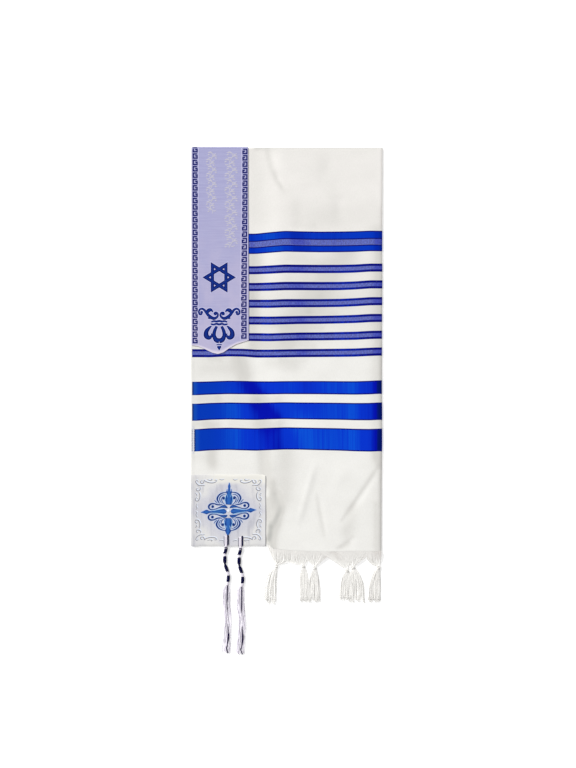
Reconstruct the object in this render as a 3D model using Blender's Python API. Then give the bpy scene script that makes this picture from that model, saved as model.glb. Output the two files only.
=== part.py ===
"""Folded prayer shawl lying flat: the cloth and all that is sewn or tied to it, in metres, +Z up."""

import bpy
import numpy as np

MM = 0.001

# Driving dimensions, in millimetres. The shawl lies with its top fold at +Y and its hem at -Y.
LENGTH = 988.6  # top fold to the ends of the corner threads
WIDTH = 376.4  # corner patch's left edge to the folded right edge
LEFT_EDGE = -187.2
RIGHT_FOLD = WIDTH / 2
WALL = 1.2  # cloth
GAP = 0.3  # between pieces that are sewn together
HEM_GAP = 0.8  # between the wavy hem and the fringe's webs
TRIM = 1.0  # neckband and corner patch
TOP_FOLD = LENGTH / 2 - GAP - TRIM  # the neckband goes round it
STACK_LEFT = 3.0  # height where the cloth lies double
STACK_RIGHT = 6.6  # height where it lies four deep
INNER_EDGE = -37.5  # where the hidden layers' free edge lies
INNER_EDGE_SOFTNESS = 26.0
SELVEDGE = 4.0
SELVEDGE_RISE = 0.35
WAVE = {"rise": 0.22, "across": 47.0, "along": 83.0}  # soft unevenness all over, its lengths over 2 pi
SIDE_ROLL = 9.0  # how far in the right fold starts to turn down
TOP_ROLL_LEFT = 3.2
TOP_ROLL_RIGHT = 6.5
ROLL_SHARES = (0.62, 0.3, 0.08, 0.0)  # grid lines on a roll, as shares of its width from the fold

# Cells of the cloth's grid: columns reach so many mm from the left edge, rows a share of the height.
GRID_COLUMNS = ("stretch", "reach", "cells")
ACROSS_ROWS = (
    ("selvedge", SELVEDGE, 1),
    ("neckband", 112.5, 5),
    ("patch", 146.6, 2),
    ("pinch", 172, 4),
    ("open cloth", RIGHT_FOLD - LEFT_EDGE - SIDE_ROLL, 12),
)
UPWARD_ROWS = (
    ("hem", 0.02, 2),
    ("corner folds", 0.24, 12),
    ("broad stripes", 0.5, 8),
    ("fine stripes", 0.78, 9),
    ("plain top", 1, 10),
)

# Waves of the hem.
HEM_COLUMNS = ("x", "y")
HEM_ROWS = (
    (-187.2, -281.4),
    (-60.0, -281.8),
    (-41.0, -275.0),
    (-30.0, -287.0),
    (0.0, -291.0),
    (76.0, -293.6),
    (188.2, -293.0),
)

# Folds and creases: both ends, height (a trough is below zero) and half width.
CREASE_COLUMNS = ("x1", "y1", "x2", "y2", "rise", "half")
CREASE_ROWS = (
    (-43, 487, -22, 442, -0.9, 11),
    (-22, 442, -6, 412, -1.3, 8),
    (-20, 478, 4, 430, 0.9, 14),
    (74, 470, 60, 420, -0.8, 13),
    (20, 385, 26, 338, -0.9, 16),
    (100, 395, 103, 362, -0.7, 13),
    (-38, 45, -36, -100, -0.9, 20),
    (45, 60, 70, -90, 0.8, 30),
    (-8, -105, -6, -172, -1.2, 17),
    (-23, -165, -27, -232, -1.7, 10),
    (-27, -232, -37, -281, -1.9, 9),
    (62, -116, 19, -248, -1.3, 12),
    (38, -150, 8, -225, 0.9, 16),
    (62, -190, 74, -262, -1.4, 10),
    (182, -122, 100, -236, -1.8, 13),
    (168, -92, 92, -196, 1.1, 17),
    (160, -180, 124, -240, 0.8, 20),
    (132, -266, 94, -288, -1.1, 10),
)
CALM_LEFT_OF = -41.0  # creases fade out towards the part that lies double
CALM_FADE = (14.0, 10.0)  # how far before and after that line

# The hidden layers end this far inside the front's cut edges, and its grid closes up over this stretch.
CUT_INSET = 2.2
CUT_FADE = 30.0

# Rim of the hidden layers, from the top down: share of its height, how far out, and depth between layers.
RIM_COLUMNS = ("share", "out", "groove")
RIM_ROWS = (
    (0.92, 0.75, 0.0),
    (0.74, 1.15, 0.0),
    (0.5, 1.2, 0.75),
    (0.27, 1.2, 0.0),
    (0.0, 0.6, 0.0),
)

NECKBAND = {"right": -74.7, "left_corner": 110.2, "right_corner": 116.8, "tip": 92.6, "rows": 16}
PATCH = {"left": -WIDTH / 2, "right": -40.6, "top": -143.6, "bottom": -283.2, "rows": 8, "corner": 2.5}

# Where each tassel leaves the hem, its knot, and its free ends.
TASSEL_COLUMNS = ("hem_from", "hem_to", "knot_x", "knot_y", "end_from", "end_to", "end_y")
TASSEL_ROWS = (
    (-29, -1, -20.5, -320.8, -43.5, -25.5, -395.0),
    (1, 36, 33.2, -322.3, 22.4, 41.9, -393.5),
    (38, 77, 53.4, -324.7, 46.8, 66.3, -391.5),
    (80, 123, 116.0, -331.3, 103.3, 124.3, -392.5),
    (125, 154, 130.2, -323.7, 129.7, 150.2, -393.5),
    (156, 185, 179.4, -323.7, 158.0, 184.0, -391.5),
)
TASSEL = {
    "across": 5,
    "deep": 2,
    "knot_half_width": 3.6,
    "knot_half_height": 2.7,
    "strand_half": 0.6,
    "web_half_height": 0.6,
}

# One corner thread bundle, from its loop over the patch to its free ends: centre, half width and half height.
THREAD_COLUMNS = ("stretch", "x", "y", "z", "wide", "high")
THREAD_ROWS = (
    ("loop", -117.4, -262.0, 5.6, 3.4, 0.9),
    ("loop over the edge", -117.8, -284.2, 5.4, 3.2, 0.9),
    ("first winding", -118.4, -287.6, 3.6, 1.9, 1.7),
    ("first winding end", -121.0, -295.0, 2.4, 2.0, 1.9),
    ("ring", -121.9, -297.4, 2.9, 2.9, 2.4),
    ("gap", -121.4, -300.8, 2.1, 1.4, 1.4),
    ("second winding", -121.0, -304.0, 2.4, 2.0, 1.9),
    ("second winding end", -120.4, -315.4, 2.4, 2.0, 1.9),
    ("thin winding", -119.0, -319.6, 2.1, 1.5, 1.5),
    ("third winding", -116.2, -327.0, 2.5, 2.2, 2.0),
    ("third winding end", -114.4, -333.6, 2.5, 2.2, 2.0),
    ("knot", -113.1, -338.0, 3.0, 2.8, 2.5),
    ("fourth winding", -113.5, -342.4, 2.4, 2.0, 1.9),
    ("fourth winding end", -113.9, -352.2, 2.4, 2.0, 1.9),
    ("last knot", -113.7, -356.6, 3.2, 3.0, 2.7),
    ("brush", -114.4, -362.0, 2.9, 3.4, 2.3),
)
BRUSH_COLUMNS = ("y", "x_from", "x_to")
BRUSH_ROWS = (
    (-372.0, -120.6, -111.4),
    (-416.0, -118.6, -110.6),
    (-462.0, -121.0, -109.6),
    (-489.6, -123.6, -108.6),
)
THREAD = {"across": 4, "deep": 2, "strand_half": 0.5}
SECOND_THREAD = (27.3, -4.7)  # from the first bundle
FLOOR_CLEARANCE = 0.45  # under the lowest strands


def table(columns, rows):
    return [dict(zip(columns, row)) for row in rows]


def make_material(name, colour, roughness):
    material = bpy.data.materials.new(name)
    material.use_nodes = True
    shader = material.node_tree.nodes["Principled BSDF"]
    shader.inputs["Base Color"].default_value = (*colour, 1)
    shader.inputs["Roughness"].default_value = roughness
    shader.inputs["Metallic"].default_value = 0
    return material


def add_object(name, points, faces, material):
    mesh = bpy.data.meshes.new(name)
    mesh.from_pydata((np.asarray(points) * MM).tolist(), [], faces)
    mesh.materials.append(material)
    mesh.shade_smooth()
    mesh.set_sharp_from_angle(angle=0.7)
    piece = bpy.data.objects.new(name, mesh)
    bpy.context.collection.objects.link(piece)
    return piece


def smooth_step(x, start, end):
    s = np.clip((x - start) / (end - start), 0, 1)
    return s * s * (3 - 2 * s)


def four_deep(x):
    """0 where the cloth lies double, 1 where it lies four deep."""
    return smooth_step(x, INNER_EDGE - INNER_EDGE_SOFTNESS / 2, INNER_EDGE + INNER_EDGE_SOFTNESS / 2)


def crease_height(x, y):
    """The sum of soft bells across each crease's line, fading past its ends."""
    total = np.zeros(np.broadcast(x, y).shape)
    for crease in table(CREASE_COLUMNS, CREASE_ROWS):
        along = np.array([crease["x2"] - crease["x1"], crease["y2"] - crease["y1"]], float)
        size = np.linalg.norm(along)
        along /= size
        dx, dy = x - crease["x1"], y - crease["y1"]
        t = dx * along[0] + dy * along[1]
        off = dx * along[1] - dy * along[0]
        past = np.maximum(np.maximum(-t, t - size), 0)
        total += crease["rise"] * np.exp(-(off**2 + past**2) / crease["half"] ** 2)
    return total * smooth_step(x, CALM_LEFT_OF - CALM_FADE[0], CALM_LEFT_OF + CALM_FADE[1])


def cloth_height(x, y):
    """Height of the cloth's upper face before its folded edges turn down."""
    height = STACK_LEFT + (STACK_RIGHT - STACK_LEFT) * four_deep(x)
    height = height + WAVE["rise"] * np.sin(x / WAVE["across"] + 0.8) * np.sin(y / WAVE["along"] + 0.4)
    height = height + SELVEDGE_RISE * (1 - smooth_step(x - LEFT_EDGE, SELVEDGE * 0.8, SELVEDGE * 1.6))
    return height + crease_height(x, y)


def rim_height(x):
    """Height at which a folded edge of the front ends, above the layers under it."""
    return 0.5 * (STACK_LEFT + (STACK_RIGHT - STACK_LEFT) * four_deep(x))


def grid_lines(rows):
    """Where a grid's lines lie, short of the folded edge."""
    lines = [0.0]
    for stretch in table(GRID_COLUMNS, rows):
        lines += np.linspace(lines[-1], stretch["reach"], stretch["cells"] + 1)[1:].tolist()
    return np.array(lines)


def hem_y(x):
    hem = table(HEM_COLUMNS, HEM_ROWS)
    return np.interp(x, [p["x"] for p in hem], [p["y"] for p in hem])


def turn(share):
    """Height of a quarter round at a share of the way in from its edge."""
    return np.sqrt(np.clip(1 - (1 - share) ** 2, 0, 1))


def cloth_face(depth):
    """The front's upper face sunk by depth: a quarter-round roll along the right and top folds."""
    columns, rows = grid_lines(ACROSS_ROWS), grid_lines(UPWARD_ROWS)
    roll = np.array(ROLL_SHARES)
    x_at = np.concatenate([LEFT_EDGE + columns, RIGHT_FOLD - depth - (SIDE_ROLL - depth) * roll])
    top_roll = TOP_ROLL_LEFT + (TOP_ROLL_RIGHT - TOP_ROLL_LEFT) * four_deep(x_at)
    low, start = hem_y(x_at), TOP_FOLD - top_roll
    y_main = low[:, None] + (start - low)[:, None] * rows[None, :]
    y_roll = TOP_FOLD - depth - (top_roll - depth)[:, None] * roll[None, :]
    y = np.concatenate([y_main, y_roll], axis=1)
    x = np.repeat(x_at[:, None], y.shape[1], axis=1)
    across = np.concatenate([np.ones(len(columns)), turn(roll)])
    upward = np.concatenate([np.ones(len(rows)), turn(roll)])
    rim = rim_height(x) - max(depth - WALL, 0)
    z = rim + (cloth_height(x, y) - depth - rim) * across[:, None] * upward[None, :]
    return np.stack([x, y, z], axis=2)


def add_grid_faces(faces, first, columns, rows, upward):
    """Two triangles a cell, split the same way on every layer, so that gaps between layers stay even."""
    for i in range(columns - 1):
        for j in range(rows - 1):
            a = first + i * rows + j
            b, c, d = a + rows, a + rows + 1, a + 1
            pair = ((a, b, c), (a, c, d)) if upward else ((a, c, b), (a, d, c))
            faces.extend(pair)


def border(columns, rows):
    """Grid indices round the edge, anticlockwise from above, as (column, row)."""
    ring = [(i, 0) for i in range(columns - 1)]
    ring += [(columns - 1, j) for j in range(rows - 1)]
    ring += [(i, rows - 1) for i in range(columns - 1, 0, -1)]
    ring += [(0, j) for j in range(rows - 1, 0, -1)]
    return ring


def add_slab(name, upper, lower, material):
    """A closed sheet between two grids of points."""
    columns, rows = upper.shape[:2]
    count = columns * rows
    faces = []
    add_grid_faces(faces, 0, columns, rows, True)
    add_grid_faces(faces, count, columns, rows, False)
    ring = [i * rows + j for i, j in border(columns, rows)]
    for a, b in zip(ring, ring[1:] + ring[:1]):
        faces.append((a, count + a, count + b, b))
    points = np.concatenate([upper.reshape(-1, 3), lower.reshape(-1, 3)])
    return add_object(name, points, faces, material)


def add_layers(material):
    """The hidden layers as one rounded solid: its top follows the front, its rim is grooved between layers."""
    depth = WALL + GAP
    top = cloth_face(depth)
    columns, rows = top.shape[:2]
    top[:, :, 0] += CUT_INSET * (1 - smooth_step(top[:, :, 0] - LEFT_EDGE, 0, CUT_FADE))
    top[:, :, 1] += CUT_INSET * (1 - smooth_step(top[:, :, 1] - hem_y(top[:, :, 0]), 0, CUT_FADE))
    faces = []
    add_grid_faces(faces, 0, columns, rows, True)
    points = [top.reshape(-1, 3)]
    ring = border(columns, rows)
    indices = [i * rows + j for i, j in ring]
    edge = np.array([top[i, j] for i, j in ring])
    deep = four_deep(edge[:, 0])
    out = np.zeros((len(ring), 2))
    for k, (i, j) in enumerate(ring):
        out[k, 0] = (i == columns - 1) * 1.0 - (i == 0) * 0.8
        out[k, 1] = (j == rows - 1) * 1.0 - (j == 0) * 0.8
    for level in table(RIM_COLUMNS, RIM_ROWS):
        row = edge.copy()
        row[:, :2] += out * (level["out"] - level["groove"] * deep)[:, None]
        row[:, 2] = edge[:, 2] * level["share"]
        points.append(row)
        first = sum(len(p) for p in points[:-1])
        below = list(range(first, first + len(ring)))
        for k in range(len(ring)):
            n = (k + 1) % len(ring)
            faces.append((indices[k], below[k], below[n], indices[n]))
        indices = below
    faces.append(tuple(reversed(indices)))
    return add_object("shawl_layers", np.concatenate(points), faces, material)


def on_cloth(face, column, y, lift):
    """A point on one column of the front's face at y, moved out by lift along the slope there."""
    line = face[column]
    ys, zs = line[:, 1], line[:, 2]
    z = np.interp(y, ys, zs)
    slope = np.gradient(zs, ys)
    tilt = np.interp(y, ys, slope)
    size = np.hypot(1, tilt)
    return np.array([line[0, 0], y - lift * tilt / size, z + lift / size])


def add_neckband(face, material):
    """A band over the front's left edge, pointed at its lower end and turned over the top fold."""
    last = int(np.argmin(np.abs(face[:, 0, 0] - NECKBAND["right"])))
    x = face[: last + 1, 0, 0]
    share = (x - x[0]) / (x[-1] - x[0])
    corner = NECKBAND["left_corner"] + (NECKBAND["right_corner"] - NECKBAND["left_corner"]) * share
    point = 1 - np.abs(2 * share - 1) ** 1.35
    end = corner + (NECKBAND["tip"] - corner.mean()) * point
    main = len(grid_lines(UPWARD_ROWS))
    layers = []
    for lift in (GAP + TRIM, GAP):
        columns = []
        for i in range(last + 1):
            start = face[i, main - 1, 1]
            ys = end[i] + (start - end[i]) * np.linspace(0, 1, NECKBAND["rows"])
            line = [on_cloth(face, i, y, lift) for y in ys]
            rim = rim_height(x[i])
            tall = face[i, main - 1, 2] - rim + lift
            for roll in ROLL_SHARES:
                y = TOP_FOLD - TOP_ROLL_LEFT + (TOP_ROLL_LEFT + lift) * (1 - roll)
                line.append(np.array([x[i], y, rim + tall * turn(roll)]))
            columns.append(line)
        layers.append(np.array(columns))
    return add_slab("neckband", layers[0], layers[1], material)


def add_patch(face, material):
    """A square of satin sewn on the corner, a little proud of the cloth's edges."""
    last = int(np.argmin(np.abs(face[:, 0, 0] - PATCH["right"])))
    rows = np.linspace(0, 1, PATCH["rows"] + 1)
    layers = []
    for lift in (GAP + TRIM, GAP):
        columns = []
        for i in range(last + 1):
            side = 1 if i in (0, last) else 0
            low = PATCH["bottom"] + side * PATCH["corner"]
            high = PATCH["top"] - side * PATCH["corner"]
            line = []
            for y in low + (high - low) * rows:
                point = on_cloth(face, i, max(y, face[i, 0, 1]), lift)
                point[1] = y
                line.append(point)
            columns.append(line)
        columns = np.array(columns)
        columns[0, :, 0] = PATCH["left"]
        layers.append(columns)
    return add_slab("corner_patch", layers[0], layers[1], material)


def section(centre, half_x, half_z, across, deep):
    """A grid of points filling a rounded section in the XZ plane: a square mapped to a disc, then scaled."""
    u = np.linspace(-1, 1, across + 1)[:, None]
    v = np.linspace(-1, 1, deep + 1)[None, :]
    x = u * np.sqrt(1 - 0.45 * v**2)
    z = v * np.sqrt(1 - 0.45 * u**2)
    return np.stack([centre[0] + half_x * x, np.full_like(x, centre[1]), centre[2] + half_z * z], axis=2)


def add_bundle(name, sections, paths, half, material):
    """A head lofted through grid sections, with a four-sided strand out of each cell of the last one.

    Sections and strands run towards -Y, so a ring taken anticlockwise in X and Z faces outwards.
    """
    columns, rows = sections[0].shape[:2]
    ring = [i * rows + j for i, j in border(columns, rows)]
    points = [sections[0].reshape(-1, 3)]
    faces = []
    for i in range(columns - 1):
        for j in range(rows - 1):
            a = i * rows + j
            faces.append((a, a + 1, a + rows + 1, a + rows))
    previous, first = ring, columns * rows
    for grid in sections[1:-1]:
        points.append(np.array([grid[i, j] for i, j in border(columns, rows)]))
        current = list(range(first, first + len(ring)))
        for k in range(len(ring)):
            n = (k + 1) % len(ring)
            faces.append((previous[k], previous[n], current[n], current[k]))
        previous, first = current, first + len(ring)
    points.append(sections[-1].reshape(-1, 3))
    current = [first + k for k in ring]
    for k in range(len(ring)):
        n = (k + 1) % len(ring)
        faces.append((previous[k], previous[n], current[n], current[k]))
    last, first = first, first + columns * rows
    corners = np.array([(-1, -1), (1, -1), (1, 1), (-1, 1)])
    for (i, j), path in paths.items():
        a = last + i * rows + j
        before = [a, a + rows, a + rows + 1, a + 1]
        for centre in path:
            square = np.zeros((4, 3))
            square[:, 0] = centre[0] + half * corners[:, 0]
            square[:, 1] = centre[1]
            square[:, 2] = centre[2] + half * corners[:, 1]
            points.append(square)
            now = list(range(first, first + 4))
            for k in range(4):
                n = (k + 1) % 4
                faces.append((before[k], before[n], now[n], now[k]))
            before, first = now, first + 4
        faces.append(tuple(before))
    return add_object(name, np.concatenate(points), faces, material)


def add_tassel(number, row, face, material):
    """Warp ends gathered from a stretch of hem into a knot, then hanging free as strands."""
    across, deep, half = TASSEL["across"], TASSEL["deep"], TASSEL["strand_half"]
    hem = section((0, 0, 0), 1, 1, across, deep)
    width = row["hem_to"] - row["hem_from"]
    x = row["hem_from"] + width * (hem[:, :, 0] + 1) / 2
    edge = face[:, 0]
    z = np.interp(x, edge[:, 0], edge[:, 2]) - WALL / 2
    z += TASSEL["web_half_height"] * hem[:, :, 2]
    web = np.stack([x, np.interp(x, edge[:, 0], edge[:, 1]) - HEM_GAP, z], axis=2)
    knot_x, knot_y = row["knot_x"], row["knot_y"]
    wide, high = TASSEL["knot_half_width"], TASSEL["knot_half_height"]
    rest = FLOOR_CLEARANCE + high
    middle = (0.35 * (row["hem_from"] + row["hem_to"]) / 2 + 0.65 * knot_x, knot_y + 16, rest + 0.8)
    sections = [
        web,
        section(middle, 0.24 * width, 1.1, across, deep),
        section((knot_x, knot_y + 5, rest), 0.7 * wide, 0.75 * high, across, deep),
        section((knot_x, knot_y, rest), wide, high, across, deep),
        section((knot_x, knot_y - 5, rest), 0.85 * wide, 0.8 * high, across, deep),
        section((knot_x, knot_y - 9, rest), 1.2 * wide, 0.75 * high, across, deep),
    ]
    paths = {}
    spread = row["end_to"] - row["end_from"]
    for i in range(across):
        for j in range(deep):
            end_x = row["end_from"] + spread * (i + 0.5 * j + 0.25) / across
            root_x = knot_x + 1.2 * wide * (2 * (i + 0.5) / across - 1)
            root_z = rest + 0.35 * high * (2 * j - 1)
            low = FLOOR_CLEARANCE + half + j * 2.3 * half
            end_y = row["end_y"] + 3.2 * ((i * 2 + j * 3) % 4) / 3
            path = []
            for share in (0.04, 0.36, 0.7, 1.0):
                ease = share * (2 - share) if share > 0.04 else 0
                bow = 1.4 * np.sin(np.pi * share) * (-1) ** (i + j)
                place_x = root_x + (end_x - root_x) * ease + (bow if share > 0.04 else 0)
                place_y = knot_y - 9.6 + (end_y - knot_y + 9.6) * max(share - 0.04, 0) / 0.96
                place_z = root_z + (low - root_z) * min(1, 1.6 * ease)
                path.append((place_x, place_y, place_z))
            paths[i, j] = path
    return add_bundle(f"tassel_{number}", sections, paths, half, material)


def add_thread(name, shift, material):
    """A corner thread bundle: looped over the patch, wound and knotted, then loose ends."""
    across, deep, half = THREAD["across"], THREAD["deep"], THREAD["strand_half"]
    sections = []
    rows = table(THREAD_COLUMNS, THREAD_ROWS)
    for row in rows:
        centre = (row["x"] + shift[0], row["y"] + shift[1], row["z"])
        sections.append(section(centre, row["wide"], row["high"], across, deep))
    brush = rows[-1]
    paths = {}
    for i in range(across):
        for j in range(deep):
            root_x = brush["x"] + brush["wide"] * 0.92 * (2 * (i + 0.5) / across - 1)
            root_z = brush["z"] + 0.45 * brush["high"] * (2 * j - 1)
            path = [(root_x + shift[0], brush["y"] - 0.5 + shift[1], root_z)]
            for row in table(BRUSH_COLUMNS, BRUSH_ROWS):
                share = (i + 0.5 * j + 0.25) / across
                x = row["x_from"] + (row["x_to"] - row["x_from"]) * share
                z = FLOOR_CLEARANCE + half + j * 2.6 * half
                path.append((x + shift[0], row["y"] + shift[1], z))
            paths[i, j] = path
    return add_bundle(name, sections, paths, half, material)


def main():
    for old in list(bpy.data.objects):
        bpy.data.objects.remove(old, do_unlink=True)
    cloth = make_material("shawl_cloth", (0.86, 0.85, 0.83), 0.85)
    satin = make_material("neckband_satin", (0.42, 0.42, 0.66), 0.45)
    patch_satin = make_material("patch_satin", (0.72, 0.72, 0.78), 0.35)
    yarn = make_material("fringe_yarn", (0.87, 0.86, 0.83), 0.9)
    thread = make_material("corner_thread", (0.6, 0.57, 0.68), 0.8)

    upper = cloth_face(0)
    add_slab("shawl_front", upper, cloth_face(WALL), cloth)
    add_layers(cloth)
    add_neckband(upper, satin)
    add_patch(upper, patch_satin)
    for number, row in enumerate(table(TASSEL_COLUMNS, TASSEL_ROWS), 1):
        add_tassel(number, row, upper, yarn)
    add_thread("tzitzit_left", (0, 0), thread)
    add_thread("tzitzit_right", SECOND_THREAD, thread)


main()
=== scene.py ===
import bpy
import numpy as np
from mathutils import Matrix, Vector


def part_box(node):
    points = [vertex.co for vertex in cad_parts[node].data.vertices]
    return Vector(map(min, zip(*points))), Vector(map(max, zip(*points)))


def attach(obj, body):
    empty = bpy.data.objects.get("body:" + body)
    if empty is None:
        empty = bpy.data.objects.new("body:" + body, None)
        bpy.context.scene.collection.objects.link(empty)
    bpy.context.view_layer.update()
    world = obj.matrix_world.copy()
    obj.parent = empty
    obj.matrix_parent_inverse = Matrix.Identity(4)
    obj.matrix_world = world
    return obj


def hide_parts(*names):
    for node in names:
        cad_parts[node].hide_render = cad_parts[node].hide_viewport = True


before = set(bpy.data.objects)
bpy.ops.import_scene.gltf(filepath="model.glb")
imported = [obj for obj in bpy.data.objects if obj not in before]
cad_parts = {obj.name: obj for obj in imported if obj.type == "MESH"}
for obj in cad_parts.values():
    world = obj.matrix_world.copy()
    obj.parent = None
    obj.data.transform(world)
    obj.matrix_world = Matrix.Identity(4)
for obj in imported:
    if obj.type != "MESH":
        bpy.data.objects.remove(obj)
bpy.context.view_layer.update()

mm = 0.001


# A node's lowest and highest corner, in mm.
def nodeBox(name):
    low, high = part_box(name)
    return np.array(low) / mm, np.array(high) / mm


# 3 s^2 - 2 s^3, where s is the share of the way from start to end.
def smoothStep(x, start, end):
    s = np.clip((x - start) / (end - start), 0, 1)
    return s * s * (3 - 2 * s)


# One dictionary for each row, under the columns' names.
def table(columns, rows):
    return [dict(zip(columns, row)) for row in rows]


# A bell across a line from (x1, y1) to (x2, y2), rise * exp(-(distance / half)^2), summed over the rows.
# With a fade, each grows from nothing over that share of its length at either end.
def lineBells(x, y, rows, fade=0.0):
    total = np.zeros(np.broadcast(x, y).shape)
    for row in rows:
        ax, ay = row["x2"] - row["x1"], row["y2"] - row["y1"]
        size = np.hypot(ax, ay)
        dx, dy = x - row["x1"], y - row["y1"]
        t = (dx * ax + dy * ay) / size
        off = (dx * ay - dy * ax) / size
        past = np.maximum(np.maximum(-t, t - size), 0)
        bell = row["rise"] * np.exp(-(off**2 + past**2) / row["half"] ** 2)
        if fade:
            near = np.minimum(t, size - t)
            bell = bell * smoothStep(near, -row["half"], fade * size)
        total += bell
    return total


# A bell along each bent line, rise * exp(-(distance to its nearest stretch / half)^2), summed over the lines.
def bentBells(x, y, lines):
    total = np.zeros(np.broadcast(x, y).shape)
    for line in lines:
        corners = np.asarray(line["corners"], float)
        nearest = np.full(total.shape, np.inf)
        for start, end in zip(corners[:-1], corners[1:]):
            run = end - start
            t = np.clip(((x - start[0]) * run[0] + (y - start[1]) * run[1]) / (run @ run), 0, 1)
            nearest = np.minimum(nearest, np.hypot(x - start[0] - t * run[0], y - start[1] - t * run[1]))
        total += line["rise"] * np.exp(-((nearest / line["half"]) ** 2))
    return total


# Quads over a grid of points held row by row: point (i, j) is first + i * rows + j.
def gridFaces(columns, rows, first=0, flip=False):
    i, j = np.meshgrid(np.arange(columns - 1), np.arange(rows - 1), indexing="ij")
    a = (first + i * rows + j).ravel()
    quads = np.stack([a, a + rows, a + rows + 1, a + 1], axis=1)
    return quads[:, ::-1] if flip else quads


# The grid's rim, once round: south, east, north and west.
def gridBorder(columns, rows):
    i, j = np.arange(columns), np.arange(rows)
    south, east = i[:-1] * rows, (columns - 1) * rows + j[:-1]
    north, west = i[:0:-1] * rows + rows - 1, j[:0:-1]
    return np.concatenate([south, east, north, west])


# The values with one more just inside each end, so that smooth shading keeps a cut edge crisp.
def crisp(values, inset=0.35, ends=(True, True)):
    extra = [values[0] + inset] * ends[0] + [values[-1] - inset] * ends[1]
    return np.sort(np.concatenate([values, extra]))


# A closed slab between two grids (columns, rows, 3): quads along their rims join them.
def slabArrays(upper, lower):
    columns, rows = upper.shape[:2]
    count = columns * rows
    ring = gridBorder(columns, rows)
    after = np.roll(ring, -1)
    side = np.stack([ring, ring + count, after + count, after], axis=1)
    faces = np.concatenate([gridFaces(columns, rows), gridFaces(columns, rows, count, True), side])
    return np.concatenate([upper.reshape(-1, 3), lower.reshape(-1, 3)]), faces


# A mesh in metres with its thread map in mm, one number for each point under each name, and smooth shading.
def addMesh(name, points, faces, material, uv=None, values=None):
    mesh = bpy.data.meshes.new(name)
    mesh.from_pydata((points * mm).tolist(), [], faces.tolist())
    corner = np.zeros(len(mesh.loops), np.int32)
    mesh.loops.foreach_get("vertex_index", corner)
    if uv is not None:
        layer = mesh.uv_layers.new(name="Thread")
        layer.data.foreach_set("uv", uv[corner].astype(np.float32).ravel())
    for key, value in (values or {}).items():
        attribute = mesh.attributes.new(key, "FLOAT", "POINT")
        attribute.data.foreach_set("value", value.astype(np.float32).ravel())
    mesh.materials.append(material)
    mesh.shade_smooth()
    piece = bpy.data.objects.new(name, mesh)
    bpy.context.collection.objects.link(piece)
    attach(piece, "root")
    return piece


# Many (points, faces, uv) parts as one set of arrays, with each part's faces counted on from the last.
def joinParts(parts):
    first, points, faces, uvs = 0, [], [], []
    for p, f, uv in parts:
        points.append(p)
        faces.append(f + first)
        uvs.append(uv)
        first += len(p)
    return np.concatenate(points), np.concatenate(faces), np.concatenate(uvs)


# Tubes of round section along paths (count, n, 3). The section's axes are the path's level normal and
# its cross product with the tangent; radius is a number or an array that broadcasts to (count, n).
def tubes(paths, radius, sides=6, squash=1.0):
    count, n = paths.shape[:2]
    tangent = np.gradient(paths, axis=1)
    tangent /= np.linalg.norm(tangent, axis=2, keepdims=True) + 1e-9
    level = np.stack([-tangent[..., 1], tangent[..., 0], np.zeros((count, n))], axis=2)
    size = np.linalg.norm(level, axis=2, keepdims=True)
    level = np.where(size > 0.05, level / (size + 1e-9), np.array([1.0, 0, 0]))
    rise = np.cross(tangent, level)
    angle = np.arange(sides) * 2 * np.pi / sides
    r = np.broadcast_to(np.asarray(radius, float), (count, n))[..., None, None]
    ring = level[:, :, None] * np.cos(angle)[:, None] + squash * rise[:, :, None] * np.sin(angle)[:, None]
    points = (paths[:, :, None] + r * ring).reshape(-1, 3)
    k, i, s = np.meshgrid(np.arange(count), np.arange(n - 1), np.arange(sides), indexing="ij")
    a = ((k * n + i) * sides + s).ravel()
    b = ((k * n + i) * sides + (s + 1) % sides).ravel()
    faces = np.stack([a, b, b + sides, a + sides], axis=1)
    length = np.cumsum(np.linalg.norm(np.diff(paths, axis=1, prepend=paths[:, :1]), axis=2), axis=1)
    u = np.broadcast_to(np.arange(sides) / sides, (count, n, sides))
    v = np.broadcast_to(length[..., None], (count, n, sides))
    return points, faces, np.stack([u, v], axis=3).reshape(-1, 2)


# The light on a level surface. At 1 a colour would show as it is given.
lightLevel = 1.06


# A colour in screen values from 0 to 255, made linear and divided by the light level.
def paint(red, green, blue):
    c = np.array([red, green, blue]) / 255
    linear = np.where(c <= 0.04045, c / 12.92, ((c + 0.055) / 1.055) ** 2.4)
    return (*np.clip(linear / lightLevel, 0, 1).tolist(), 1.0)


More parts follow.
